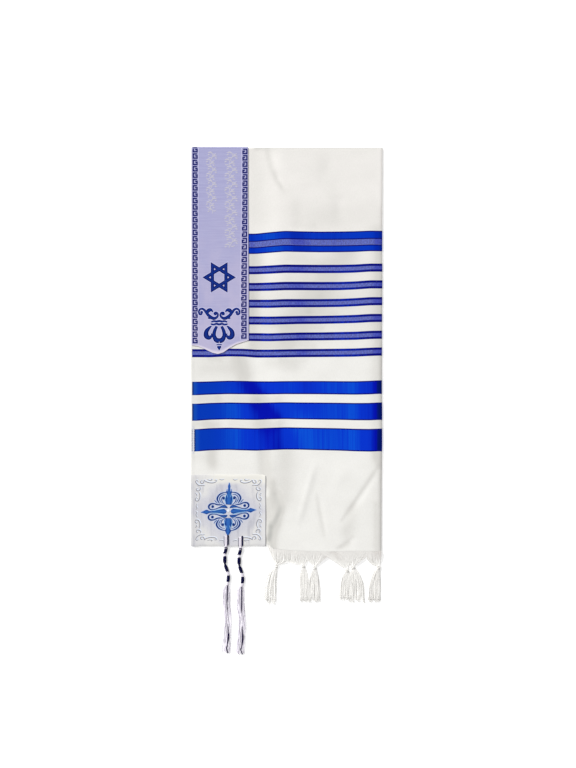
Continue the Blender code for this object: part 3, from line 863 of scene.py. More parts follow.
# A smooth curve through rows of numbers (Catmull-Rom): n points between each two rows.
def through(rows, n=6):
    p = np.asarray(rows, float)
    ends = np.concatenate([2 * p[:1] - p[1:2], p, 2 * p[-1:] - p[-2:-1]])
    slope = (ends[2:] - ends[:-2]) / 2
    t = np.arange(n)[None, :, None] / n
    a, b, m, k = p[:-1, None], p[1:, None], slope[:-1, None], slope[1:, None]
    h = 2 * t**3 - 3 * t**2
    curve = a * (1 + h) - b * h + m * (t**3 - 2 * t**2 + t) + k * (t**3 - t**2)
    return np.concatenate([curve.reshape(-1, p.shape[1]), p[-1:]])


# Widths that grow from first to middle and shrink to last.
def swell(n, first, middle, last, peak=0.5):
    return np.interp(np.linspace(0, 1, n), [0, peak, 1], [first, middle, last])


# A round spot: a closed ring wide enough to fill itself.
def disc(x, y, radius):
    a = np.radians(np.linspace(0, 360, 13))
    half = radius * 0.5
    return np.stack([x + half * np.cos(a), y + half * np.sin(a), 0 * a + radius * 1.04], axis=1)


neckbandForm = {
    "gap": 0.3,
    "thick": 1.0,
    "step": 2.6,
    "inset": 1.2,
    "foldBulge": 0.7,
    "foldRows": 8,
    "endHem": 3.0,
    "tipHem": 6.0,
    "tipHalf": 30,
    "ornamentEnd": 84.0,
    "flare": 1.3,
    "borderWide": 10.2,
    "leftMargin": 1.9,
    "rightMargin": 0.9,
    "borderDrift": 2.9,
    "driftSpan": (60, 300),
    "keyPitch": 12.4,
    "keyLine": 2.75,
    "keyLift": (0.04, 0.16),
    "borderLines": ((6.4, 1.4), (-6.2, 1.2)),
    "lineLift": (0.03, 0.13),
    "centre": -132.2,
    "starPlace": 252.2,
    "starRadius": 32.8,
    "starLine": 6.5,
    "starTall": 1.05,
    "scrollPlace": 337.0,
    "figureLift": (0.1, 0.28),
    "haloLift": (0.02, 0.08),
    "starHalo": 0.85,
    "scrollHalo": 2.1,
    "vineLift": (0.02, 0.14),
    "vines": ((-147.4, 8, 128, 9), (-109.2, 8, 195, 11)),
}
# The band's pointed end, from its left edge to its right.
bandEnd = table(("x", "y"), (
    (-187.2, 108.6),
    (-173.0, 106.4),
    (-160.0, 101.0),
    (-146.0, 94.0),
    (-134.5, 91.4),
    (-124.0, 94.6),
    (-113.0, 102.4),
    (-99.0, 110.6),
    (-75.0, 118.6),
))
satinColours = {
    "base": paint(176, 176, 213),
    "deep": paint(168, 167, 207),
    "rose": paint(190, 184, 214),
    "pale": paint(205, 206, 243),
    "hem": paint(226, 218, 234),
    # fold is painted shade for the band's turn over the top fold.
    "fold": paint(150, 150, 186),
    "navy": paint(34, 40, 116),
    "indigo": paint(14, 20, 98),
    "ink": paint(8, 12, 92),
    "blue": paint(16, 50, 140),
    "silver": paint(203, 199, 205),
    "halo": paint(216, 222, 248),
}


# The band's face over the cloth from its end at y = end to the top fold, and on round the fold by a quarter
# ellipse: the sine of the swing along y and its cosine down.
def neckbandFace(x, end, out):
    c, f = clothForm, neckbandForm
    start = c["top"] - c["topRollDouble"]
    rows = int((start - end.mean()) / f["step"])
    swing = np.linspace(0, np.pi / 2, f["foldRows"] + 1)[1:]
    y = end[:, None] + (start - end)[:, None] * crisp(np.linspace(0, 1, rows), 0.001, (True, False))
    z = clothHeight(x[:, None], y) + out
    rim = rimHeight(x, c["top"])[:, None]
    yRoll = start + (c["topRollDouble"] + f["foldBulge"] + out) * np.sin(swing)[None, :] + 0 * rim
    zRoll = rim + (z[:, -1:] - rim) * np.cos(swing)[None, :]
    yy, zz = np.concatenate([y, yRoll], axis=1), np.concatenate([z, zRoll], axis=1)
    flare = f["flare"] * smoothStep(c["top"] - yy, *f["driftSpan"])
    flare = flare * smoothStep(x, -100, bandHigh[0])[:, None]
    xx = np.repeat(x[:, None], yy.shape[1], axis=1) + flare
    return np.stack([xx, yy, zz], axis=2)


# Ornament coordinates on the neckband: x as it lies, s as mm down from the top fold.
def neckbandSurface(x):
    f = neckbandForm
    face = neckbandFace(x, np.full(len(x), f["ornamentEnd"]), f["gap"] + f["thick"])
    return Surface(face[:, ::-1], x, clothForm["top"] - face[0, ::-1, 1])


# Ribbed satin with a rosy cloud lower down, a light sewn end and painted shade on its turn over the fold.
def satinMaterial():
    c = satinColours
    material, t, shader = newMaterial("neckband satin", 0.5, coat=0.05, shine=0.1)
    vector, _, v = t.uv()
    threads = t.use(weave, Vector=t.stretched(vector, 1.0, 1.6), Threads=1.5)
    rib = t.grain(vector, 0.02, 0.5, 3.0)
    cloud = t.grain(vector, 0.02, 0.014, 3.0)
    colour = t.mix(t.fade(rib, 0.35, 0.65), c["deep"], c["base"])
    rosy = t.times(t.fade(v, 60.0, 360.0), t.fade(cloud, 0.3, 0.62))
    colour = t.mix(rosy, colour, c["rose"])
    colour = t.mix(t.value("hem"), colour, c["hem"])
    # Painted shade on the turn over the top fold.
    colour = t.mix(t.fade(v, 4.0, -1.0), colour, c["fold"])
    t.plug(shader, "Base Color", colour)
    relief = t.plus(threads.outputs["Height"], t.times(rib, 1.5))
    t.plug(shader, "Normal", t.bump(relief, 0.22, 0.0002))
    return material


# Threads laid across a strip: dark at its edges and lighter along its middle, partly the threads' own colours
# and partly painted shade on the rounded strip, with a ridge for each stitch and painted shade in the grooves
# between stitches.
def threadMaterial(name, edge, middle, spread=0.34, stitches=1.6, relief=0.35):
    material, t, shader = newMaterial(name, 0.5, sheen=0.05)
    vector, u, v = t.uv()
    off = t.absolute(t.minus(u, 0.5))
    ridge = t.absolute(t.sine(t.times(v, np.pi * stitches)))
    fleck = t.grain(vector, 2.0, 0.9, 3.0)
    colour = t.mix(t.fade(off, spread, 0.08), edge, middle)
    # Painted shade in the grooves between stitches.
    grooveShade = t.times(t.fade(t.times(ridge, fleck), 0.4, 0.1), 0.35)
    t.plug(shader, "Base Color", t.mix(grooveShade, colour, edge))
    t.plug(shader, "Normal", t.bump(t.plus(ridge, fleck), relief, 0.0002))
    return material


# One hook of the key pattern in a unit cell, x from -1 to 1 across the border and y from 0 to 1 along it.
keyShape = np.array([(1, 0.08), (-1, 0.08), (-1, 0.74), (1, 0.74), (1, 0.38), (0, 0.38)])


# A stroke with square corners: at each corner the sides meet on the mitre line.
def mitred(surface, corners, width, lift):
    p = np.asarray(corners, float)
    d = np.diff(p, axis=0)
    d /= np.linalg.norm(d, axis=1, keepdims=True)
    n = np.stack([-d[:, 1], d[:, 0]], axis=1)
    before, after = np.vstack([n[:1], n]), np.vstack([n, n[-1:]])
    side = before + after
    side *= (width / 2) / (1 + (before * after).sum(axis=1, keepdims=True))
    left, right = [], []
    for k in range(len(p) - 1):
        t = np.linspace(0, 1, 4)[:, None]
        left.append((p[k] - side[k]) * (1 - t) + (p[k + 1] - side[k + 1]) * t)
        right.append((p[k] + side[k]) * (1 - t) + (p[k + 1] + side[k + 1]) * t)
    return stripBetween(surface, np.concatenate(left), np.concatenate(right), lift)


# Many strips as one piece.
def addOrnament(name, parts, material):
    points, faces, uv = joinParts(parts)
    piece = addMesh(name, points, faces, material, uv)
    return piece


# Down each side of the band, hooks of the key pattern end to end with a thin line on either hand. The
# right border drifts inwards down the band.
def keyBorders(surface):
    f = neckbandForm
    parts, lines = [], []
    half = f["borderWide"] / 2 - f["keyLine"] / 2
    left = (1, bandLow[0] + f["inset"], f["leftMargin"], 0.0)
    right = (-1, bandHigh[0] - f["inset"], f["rightMargin"], f["borderDrift"])
    for side, edge, margin, drift in (left, right):
        centre = edge + side * (margin + f["borderWide"] / 2)
        endY = np.interp(centre, [p["x"] for p in bandEnd], [p["y"] for p in bandEnd])
        length = clothForm["top"] - endY
        count = int((length + 2) / f["keyPitch"])
        start = length - 3.0 - count * f["keyPitch"]
        for k in range(count):
            along = start + f["keyPitch"] * (k + keyShape[:, 1])
            across = centre + side * half * keyShape[:, 0] - drift * smoothStep(along, *f["driftSpan"])
            parts.append(mitred(surface, np.stack([across, along], axis=1), f["keyLine"], f["keyLift"]))
        for offset, width in f["borderLines"]:
            along = np.linspace(-2.0, length - 1.5, 160)
            across = centre + side * offset - drift * smoothStep(along, *f["driftSpan"])
            lines.append(stroke(surface, np.stack([across, along], axis=1), width, f["lineLift"]))
    return parts, lines


# A six-pointed star of two triangles, each a ring between its outline and the outline inset by a band.
def starRings(surface, lift, grow=0.0):
    f = neckbandForm
    middle, radius, line, tall = (f["centre"], f["starPlace"]), f["starRadius"], f["starLine"], f["starTall"]
    parts = []
    for turn in (0, 180):
        angles = np.radians(turn + np.array([0, 120, 240, 360]))
        outer = (radius + 2 * grow) * np.stack([np.cos(angles), tall * np.sin(angles)], axis=1)
        inner = (radius - 2 * line - 2 * grow) * np.stack([np.cos(angles), tall * np.sin(angles)], axis=1)
        t = np.linspace(0, 1, 14)[:, None]
        left, right = [], []
        for k in range(3):
            left.append(outer[k] * (1 - t) + outer[k + 1] * t)
            right.append(inner[k] * (1 - t) + inner[k + 1] * t)
        left, right = np.concatenate(left) + middle, np.concatenate(right) + middle
        parts.append(stripBetween(surface, left, right, lift))
    return parts


# The scroll below the star, right half, in mm from its centre with y upwards: x, y and width.
scrollStrokes = [
    [(33.6, 14.6, 2.6), (35.6, 12.4, 2.9), (38.4, 13.6, 3.1), (39.6, 17.8, 3.2), (37.6, 22.2, 3.4),
     (33.2, 23.6, 3.7), (28.8, 21.2, 4.0), (25.2, 16.4, 4.6), (20.8, 11.0, 5.3), (15.4, 6.6, 5.6),
     (9.6, 4.8, 5.1), (4.4, 7.4, 3.9), (2.4, 12.0, 3.2), (4.6, 16.2, 2.8), (8.6, 16.4, 2.4),
     (9.8, 13.2, 2.2), (7.4, 11.8, 2.2)],
    [(23.6, 12.6, 2.8), (21.8, 19.2, 6.4), (16.6, 21.4, 5.6), (11.8, 17.6, 1.4)],
    [(15.8, 7.6, 3.4), (19.4, 5.2, 3.2), (22.2, 6.0, 1.0)],
    [(4.8, -10.6, 4.6), (9.0, -20.0, 5.9), (9.9, -29.0, 6.7), (6.0, -36.8, 8.2), (0.0, -39.0, 8.8)],
    [(15.0, -9.8, 1.6), (19.0, -13.4, 4.6), (24.8, -20.6, 7.3), (25.0, -29.2, 8.6), (19.4, -32.6, 7.2),
     (14.6, -28.6, 3.4), (15.4, -24.4, 1.4)],
]
scrollBalls = ((34.2, 16.6, 2.7), (7.0, 13.0, 2.2))
# The two wavy bars across the scroll's middle: y, half the length and how far they wave.
scrollBars = ((-0.6, 15.4, 0.4), (-6.2, 16.2, -0.6))
scrollForm = {
    "widen": 1.15,
    "barPoints": 50,
    "barEndsDown": 0.8,
    "barEnd": 3.4,
    "barMiddle": 4.3,
    "footHalf": 4.9,
    "footDown": 46.2,
    "footWide": 2.2,
    "dropDown": (49.0, 57.4),
    "dropTop": 7.8,
    "dropMiddle": 8.2,
    "dropEnd": 0.6,
    "dropPeak": 0.3,
}


# Its strokes and their mirror images, two bars that wave by a cosine, and a foot with a drop below it.
def scrollParts(surface, lift, grow):
    f = scrollForm
    middle = x, s = neckbandForm["centre"], neckbandForm["scrollPlace"]
    parts = []
    for rows in [through(rows) for rows in scrollStrokes] + [disc(*ball) for ball in scrollBalls]:
        for side in (1, -1):
            path = rows[:, :2] * (side, -1) + middle
            parts.append(stroke(surface, path, rows[:, 2] * f["widen"] + grow, lift))
    wave = np.linspace(-1, 1, f["barPoints"])
    barWide = swell(f["barPoints"], f["barEnd"] + grow, f["barMiddle"] + grow, f["barEnd"] + grow)
    for y, half, sag in scrollBars:
        down = s - y - sag * np.cos(wave * 3 * np.pi) + f["barEndsDown"] * wave**2
        parts.append(stroke(surface, np.stack([x + half * wave, down], axis=1), barWide, lift))
    foot = np.stack([np.linspace(-f["footHalf"], f["footHalf"], 12), np.full(12, f["footDown"])], axis=1)
    parts.append(stroke(surface, foot + middle, f["footWide"] + grow, lift))
    drop = np.stack([np.zeros(14), np.linspace(*f["dropDown"], 14)], axis=1)
    dropWide = swell(14, f["dropTop"] + grow, f["dropMiddle"] + grow, f["dropEnd"] + grow, f["dropPeak"])
    parts.append(stroke(surface, drop + middle, dropWide, lift))
    return parts


# Pale vines down the band. A leaf's rows are its share of the vine's half width across, mm down and width.
vineStem = {"wave": 0.3, "waveLong": 4.4, "wide": 1.8, "leafPitch": 6.9}
vineLeaves = (
    ((0, 0, 0.8), (0.4, -2.6, 4.6), (1, -1.2, 0.6)),
    ((0, 0, 0.6), (-0.5, 1.6, 3.0), (-0.9, -0.8, 0.5)),
    ((0.5, 1.0, 0.6), (0.75, 2.0, 3.4), (1, 3.2, 0.5)),
)


# A stem that waves by a sine, and at each turn a broad leaf, a narrow one and a bud, to each side by turns.
def vineParts(surface, x, start, end, half, lift):
    f = vineStem
    s = np.linspace(start, end, int((end - start) / 1.5))
    stem = np.stack([x + half * f["wave"] * np.sin((s - start) / f["waveLong"]), s], axis=1)
    parts = [stroke(surface, stem, f["wide"], lift)]
    for k, at in enumerate(np.arange(start + 3, end - 3, f["leafPitch"])):
        base = x + half * f["wave"] * np.sin((at - start) / f["waveLong"])
        side = 1 if k % 2 else -1
        for rows in vineLeaves:
            leaf = through([(base + side * across * half, at + down, wide) for across, down, wide in rows])
            parts.append(stroke(surface, leaf[:, :2], leaf[:, 2], lift))
    return parts


# The band as a slab over the cloth, with its ornament laid on it. Its thread map is x and mm down from
# the top fold, and hem is 1 at its sewn end.
def addNeckband():
    f, c = neckbandForm, satinColours
    sides = bandLow[0] + f["inset"], bandHigh[0] - f["inset"]
    x = crisp(np.linspace(*sides, int((sides[1] - sides[0]) / f["step"])))
    end = np.interp(x, [p["x"] for p in bandEnd], [p["y"] for p in bandEnd])
    upper, lower = neckbandFace(x, end, f["gap"] + f["thick"]), neckbandFace(x, end, f["gap"])
    points, faces = slabArrays(upper, lower)
    surface = neckbandSurface(x)
    uv = np.stack([upper[..., 0], clothForm["top"] - upper[..., 1]], axis=2).reshape(-1, 2)
    fromEnd = np.broadcast_to(upper[..., 1] - upper[:, :1, 1], upper.shape[:2])
    tip = np.exp(-(((x[:, None] - f["centre"]) / f["tipHalf"]) ** 2))
    hem = (1 - smoothStep(fromEnd, 1.0, f["endHem"] + f["tipHem"] * tip)).ravel()
    values = {"hem": np.concatenate([hem, hem])}
    piece = addMesh("neckband_satin", points, faces, satinMaterial(), np.concatenate([uv, uv]), values)
    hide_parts("neckband")
    navy = threadMaterial("navy brocade", c["navy"], c["indigo"])
    ink = threadMaterial("blue brocade", c["ink"], c["blue"], 0.42)
    pale = threadMaterial("pale brocade", c["rose"], c["pale"], 0.45)
    light = threadMaterial("light brocade", c["pale"], c["halo"], 0.45)
    silver = threadMaterial("silver brocade", c["base"], c["silver"], 0.5)
    keys, lines = keyBorders(surface)
    halo = starRings(surface, f["haloLift"], f["starHalo"])
    halo += scrollParts(surface, f["haloLift"], f["scrollHalo"])
    figures = starRings(surface, f["figureLift"]) + scrollParts(surface, f["figureLift"], 0.0)
    vines = [part for vine in f["vines"] for part in vineParts(surface, *vine, f["vineLift"])]
    pieces = [
        addOrnament("neckband_keys", keys, navy),
        addOrnament("neckband_lines", lines, pale),
        addOrnament("neckband_halo", halo, light),
        addOrnament("neckband_figures", figures, ink),
        addOrnament("neckband_vines", vines, silver),
    ]
    return piece, pieces


patchForm = {
    "gap": 0.15,
    "thick": 0.6,
    "step": 2.0,
    "inset": 0.5,
    "round": 2.6,
    "centre": (-113.9, -215.5),
    "leanUp": 0.04,
    "leanAcross": 0.027,
    "edgeShadowWide": 1.5,
    "wave": (0.5, 0.35),
    "sideBow": 0.4,
    "pressed": 3.0,
    "rightRise": 0.6,
    "outlineLift": (0.02, 0.1),
    "scrollOutline": 1.7,
    "bodyOutline": 2.0,
    "scrollLift": (0.14, 0.42),
    "bodyLift": (0.14, 0.4),
    "leafLift": (0.3, 0.5),
    "beadLift": (0.2, 0.7),
    "shineLift": (0.4, 0.5),
    "bead": (0.0, 1.4, 2.6),
}
patchColours = {
    "satin": paint(209, 209, 218),
    "light": paint(228, 227, 226),
    "dim": paint(188, 188, 198),
    "bare": paint(236, 234, 227),
    # hem is the colour of a painted shadow line along the right edge.
    "hem": paint(140, 139, 141),
    "grey": paint(160, 158, 162),
    "greyDark": paint(136, 134, 140),
    "mid": paint(54, 112, 194),
    "rim": paint(10, 50, 136),
    "dark": paint(4, 26, 96),
    "navy": paint(18, 62, 140),
    "sky": paint(150, 208, 250),
    "skyDark": paint(118, 184, 240),
    "white": paint(240, 245, 254),
    "whiteDark": paint(226, 234, 250),
    "pale": paint(206, 219, 244),
    "paleDark": paint(180, 200, 238),
}


# Grey satin, lighter outside a lozenge round the middle, with slanting and speckled shades, painted shade
# towards its left and right sides, a bare upper margin and a painted shadow line along its right edge.
def patchMaterial():
    c = patchColours
    material, t, shader = newMaterial("patch satin", 0.38, coat=0.08, shine=0.15)
    vector, u, v = t.uv()
    lozenge = t.plus(t.absolute(u), t.absolute(v))
    cloud = t.grain(vector, 0.05, 0.05, 4.0, 0.6)
    wide = t.plus(lozenge, t.times(cloud, 40.0))
    colour = t.mix(t.fade(wide, 78.0, 112.0), c["satin"], c["light"])
    slant = t.grain(vector, 0.07, 0.016, 3.0)
    colour = t.mix(t.times(t.fade(slant, 0.5, 0.68), 0.7), colour, c["dim"])
    speck = t.grain(vector, 0.42, 0.42, 2.0, 0.7)
    colour = t.mix(t.times(t.fade(speck, 0.54, 0.72), 0.5), colour, c["light"])
    colour = t.mix(t.times(t.fade(speck, 0.42, 0.3), 0.45), colour, c["dim"])
    # Painted shade towards the left and right sides.
    sides = t.math("MAXIMUM", t.fade(u, -46.0, -60.0, 0.0, 0.25), t.fade(u, 50.0, 64.0, 0.0, 0.15))
    colour = t.mix(sides, colour, c["dim"])
    top = t.times(t.fade(v, 50.0, 60.0), t.fade(u, -44.0, -18.0, 0.2, 1.0))
    colour = t.mix(top, colour, c["bare"])
    # A painted shadow line along the right edge.
    edge = patchHigh[0] - patchForm["centre"][0] - patchForm["edgeShadowWide"]
    colour = t.mix(t.fade(u, edge - 0.4, edge, 0.0, 0.85), colour, c["hem"])
    t.plug(shader, "Base Color", colour)
    threads = t.use(weave, Vector=t.stretched(vector, 1.0, 2.0), Threads=1.6)
    t.plug(shader, "Normal", t.bump(t.plus(threads.outputs["Height"], cloud), 0.2, 0.0002))
    return material


# The patch's face and back on the cloth, with the columns' and rows' places: its edges wave by two sines,
# its corners are quarter circles and it is pressed down to the cloth along its edges.
def patchSurface():
    f = patchForm
    columns, rows = ((patchHigh - patchLow)[:2] / f["step"]).astype(int)
    x = crisp(np.linspace(patchLow[0] + f["inset"], patchHigh[0], columns))
    share = crisp(np.linspace(0, 1, rows), 0.0025)
    inset = np.minimum(x - patchLow[0], patchHigh[0] - x)
    corner = f["round"] * (1 - np.sqrt(np.clip(1 - (1 - np.clip(inset / f["round"], 0, 1)) ** 2, 0, 1)))
    wave = f["wave"][0] * np.sin(x / 13.0) + f["wave"][1] * np.sin(x / 5.3 + 1)
    low, high = patchLow[1] + 0.8 * corner + wave, patchHigh[1] - corner + 0.5 * wave
    y = low[:, None] + (high - low)[:, None] * share
    bow = f["sideBow"] * np.sin(y / 11.0) * (1 - 2 * (x[:, None] - x[0]) / (x[-1] - x[0])) ** 3
    xx = np.repeat(x[:, None], len(share), axis=1) + bow
    ground = clothHeight(np.clip(xx, clothForm["left"] + 4, -52.0), y)
    away = np.minimum(np.minimum(y - low[:, None], high[:, None] - y), (xx - patchLow[0]))
    press = 0.1 + 0.9 * smoothStep(away, 0.0, f["pressed"])
    rise = f["rightRise"] * smoothStep(xx, patchHigh[0] - 9, patchHigh[0])
    rise = rise + 0.25 * press * np.sin(xx / 14) * np.sin(y / 17)
    outs = f["gap"] + f["thick"] * press, f["gap"] * press
    face, back = (np.stack([xx, y, ground + rise * press + out], axis=2) for out in outs)
    return face, back, x, y[len(x) // 2]


# The right half's upper quarter of the medallion, in mm from its centre: each row is x, y and width.
medallionStrokes = [
    [(2.3, 7.0, 1.3), (5.5, 9.0, 4.6), (9.3, 9.8, 5.4), (13.5, 9.0, 4.0), (17.8, 7.6, 2.2), (26.2, 4.9, 1.5),
     (33.6, 4.6, 1.8), (38.0, 7.0, 2.6), (38.8, 11.6, 3.2), (35.2, 15.4, 2.9), (28.6, 15.8, 2.2),
     (22.4, 13.4, 2.4), (16.4, 12.9, 2.0), (12.0, 14.0, 0.7)],
    [(3.4, 37.4, 0.8), (9.5, 36.8, 1.7), (16.0, 34.6, 2.3), (20.8, 30.2, 2.8), (22.8, 24.8, 3.1),
     (20.8, 19.6, 2.3), (17.8, 15.4, 1.0)],
    [(6.6, 33.2, 0.6), (12.4, 32.2, 1.3), (16.8, 28.8, 1.6), (18.2, 24.4, 1.6), (16.8, 20.0, 1.3),
     (13.8, 16.2, 0.6)],
    [(6.4, 12.8, 0.6), (10.6, 15.8, 1.2), (13.6, 20.4, 1.6), (13.8, 25.2, 1.6), (11.0, 28.6, 1.4),
     (8.4, 27.6, 1.0)],
    [(28.2, 22.9, 0.5), (25.2, 19.2, 1.4), (21.8, 16.2, 0.6)],
]
medallionBalls = ((31.2, 10.2, 2.7), (10.2, 25.4, 2.3))
medallionLeaf = [(3.2, 7.4, 0.6), (5.8, 9.2, 2.6), (9.3, 9.8, 3.2), (13.5, 9.1, 2.2), (17.0, 7.9, 0.8)]
# Its broad shapes along the axes: how far from the centre, and the width there.
medallionBodies = {
    "level": [(3.8, 0.5), (5.6, 6.8), (9.3, 9.4), (14.4, 8.4), (20.0, 6.2), (25.0, 4.2), (31.0, 3.2),
              (36.0, 3.4), (38.8, 5.6), (42.8, 9.0), (46.6, 6.0), (50.4, 2.8), (54.2, 0.3)],
    "above": [(13.4, 10.4), (15.2, 12.0), (21.1, 16.0), (26.2, 14.6), (29.6, 11.2), (32.6, 8.6), (36.0, 9.6),
              (38.6, 13.4), (39.4, 5.0), (44.6, 3.8), (49.4, 4.6), (56.4, 0.5)],
    "below": [(12.8, 9.0), (14.5, 13.2), (19.5, 16.4), (24.5, 14.0), (28.4, 10.4), (32.1, 8.0), (35.0, 9.6),
              (37.4, 12.6), (39.4, 10.4), (44.0, 5.8), (46.8, 0.5)],
}
medallionProngs = np.array([(4.3, 37.6, 2.0), (4.3, 40.0, 1.6), (4.2, 42.0, 1.0), (4.1, 44.0, 0.3)])
medallionLight = [
    [(3.8, 35.0, 0.4), (6.4, 28.6, 1.0), (7.4, 22.0, 1.0), (5.0, 14.8, 0.4)],
    [(2.2, 34.0, 0.3), (2.9, 29.6, 0.8), (2.4, 27.0, 0.3)],
    [(6.6, 5.4, 0.3), (12.5, 4.6, 1.1), (20.0, 3.4, 1.1), (30.0, 2.2, 0.9), (36.4, 3.4, 0.4)],
]


# Rows of (along, width) on the x axis, as a path with a point for each mm.
def axisRows(stations):
    rows = np.asarray(stations, float)
    stops = np.unique(np.concatenate([rows[:, 0], np.arange(rows[0, 0], rows[-1, 0], 1.0)]))
    return np.stack([stops, 0 * stops, np.interp(stops, rows[:, 0], rows[:, 1])], axis=1)


allQuarters = ((1, 1), (-1, 1), (1, -1), (-1, -1))


# Every figure is mirrored from its quarter and leant by the weave's small skew; grow widens its outline.
def medallionParts(surface, figures, lift, grow, quarters=allQuarters):
    lean = np.array([[1.0, patchForm["leanUp"]], [patchForm["leanAcross"], 1.0]])
    parts = []
    for rows in figures:
        for sx, sy in quarters:
            path = (rows[:, :2] * (sx, sy)) @ lean + patchForm["centre"]
            parts.append(stroke(surface, path, rows[:, 2] + grow, lift))
    return parts


# Grey tracery round the patch, its upper left quarter in mm from the middle: x, y and width.
traceryStrokes = [
    [(-50.4, 60.4, 0.5), (-53.6, 58.6, 0.9), (-53.4, 55.4, 1.0), (-50.0, 54.6, 1.0), (-47.2, 57.2, 1.0),
     (-46.6, 60.6, 0.8), (-43.4, 58.0, 1.0), (-36.9, 55.9, 1.1), (-29.6, 55.6, 1.0), (-24.2, 57.6, 0.9),
     (-23.6, 60.8, 0.8), (-27.2, 60.6, 0.4)],
    [(-41.0, 62.2, 0.4), (-36.0, 60.6, 0.8), (-31.6, 61.6, 0.8), (-33.6, 63.6, 0.4)],
    [(-46.0, 49.4, 0.4), (-50.0, 50.6, 0.8), (-55.2, 50.0, 1.0), (-60.4, 53.2, 1.0), (-63.4, 58.4, 0.9),
     (-61.0, 61.0, 0.7), (-58.6, 58.4, 0.5)],
    [(-55.2, 47.2, 0.4), (-54.2, 43.6, 0.9), (-57.0, 40.2, 1.1), (-60.8, 40.0, 1.0), (-62.4, 43.2, 0.9),
     (-60.0, 45.6, 0.5)],
    [(-57.6, 37.2, 0.4), (-55.6, 32.3, 1.0), (-55.4, 26.4, 1.1), (-58.2, 20.4, 1.1), (-62.4, 19.2, 1.0),
     (-64.6, 23.0, 0.9), (-62.4, 26.0, 0.7), (-60.4, 23.8, 0.4)],
    [(-64.6, 34.8, 0.4), (-62.0, 32.4, 0.8), (-62.6, 28.8, 0.5)],
    [(-17.5, 62.4, 0.4), (-13.0, 61.4, 0.8), (-8.6, 62.8, 0.4)],
    [(-60.6, 14.0, 0.4), (-62.6, 9.0, 0.8), (-60.8, 4.6, 0.8), (-63.4, 2.0, 0.4)],
]


traceryForm = {
    "squash": 0.96,
    "greyWide": 1.75,
    "greyLift": (0.04, 0.16),
    "whiteWide": 2.1,
    "whiteLift": (0.02, 0.12),
    "whiteBeside": (1.3, 1.1),
}


# Each stroke in grey in all four quarters, with a broader white one beside and under it.
def traceryParts(surface):
    f = traceryForm
    grey, white = [], []
    centre = np.array([patchLow[0] + patchHigh[0], patchLow[1] + patchHigh[1]]) / 2
    for control in traceryStrokes:
        rows = through(control, 5)
        width = rows[:, 2]
        for sx, sy in allQuarters:
            path = rows[:, :2] * (sx, sy * f["squash"]) + centre
            grey.append(stroke(surface, path, width * f["greyWide"], f["greyLift"]))
            white.append(stroke(surface, path + f["whiteBeside"], width * f["whiteWide"], f["whiteLift"]))
    return grey, white


# The patch as a slab on the cloth with its embroidery. Its thread map is mm from the medallion's centre.
def addPatch():
    f, c = patchForm, patchColours
    upper, lower, x, s = patchSurface()
    points, faces = slabArrays(upper, lower)
    surface = Surface(upper, x, s)
    uv = (upper[..., :2] - f["centre"]).reshape(-1, 2)
    piece = addMesh("patch_satin", points, faces, patchMaterial(), np.concatenate([uv, uv]))
    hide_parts("corner_patch")
    white = threadMaterial("white embroidery", c["whiteDark"], c["white"])
    pale = threadMaterial("pale embroidery", c["paleDark"], c["pale"])
    dark = threadMaterial("navy embroidery", c["dark"], c["navy"], 0.4, stitches=2.2)
    mid = threadMaterial("blue embroidery", c["rim"], c["mid"], 0.47, stitches=2.2, relief=0.5)
    light = threadMaterial("sky embroidery", c["skyDark"], c["sky"])
    grey = threadMaterial("grey tracery", c["greyDark"], c["grey"])
    strokes = [through(rows) for rows in medallionStrokes] + [disc(*ball) for ball in medallionBalls]
    bodies = {key: axisRows(rows) for key, rows in medallionBodies.items()}

    def bodyParts(lift, grow):
        turned = {key: rows[:, [1, 0, 2]] for key, rows in bodies.items()}
        level = medallionParts(surface, [bodies["level"]], lift, grow, ((1, 1), (-1, 1)))
        above = medallionParts(surface, [turned["above"]], lift, grow, ((1, 1),))
        below = medallionParts(surface, [turned["below"]], lift, grow, ((1, -1),))
        prongs = medallionParts(surface, [medallionProngs], lift, grow, ((1, 1), (-1, 1)))
        return level + above + below + prongs

    outline = medallionParts(surface, strokes, f["outlineLift"], f["scrollOutline"])
    outline += bodyParts(f["outlineLift"], f["bodyOutline"])
    leaves = medallionParts(surface, [through(medallionLeaf)], f["leafLift"], 0.0)
    bead = medallionParts(surface, [disc(*f["bead"])], f["beadLift"], 0.0, ((1, 1),))
    greyParts, whiteParts = traceryParts(surface)
    shine = medallionParts(surface, [through(rows) for rows in medallionLight], f["shineLift"], 0.0)
    scrolls = medallionParts(surface, strokes, f["scrollLift"], 0.0)
    pieces = [
        addOrnament("patch_outline", outline, pale),
        addOrnament("patch_white", bead + whiteParts, white),
        addOrnament("patch_scrolls", scrolls, dark),
        addOrnament("patch_bodies", bodyParts(f["bodyLift"], 0.0) + leaves, mid),
        addOrnament("patch_sky", shine, light),
        addOrnament("patch_tracery", greyParts, grey),
    ]
    return piece, pieces, surface


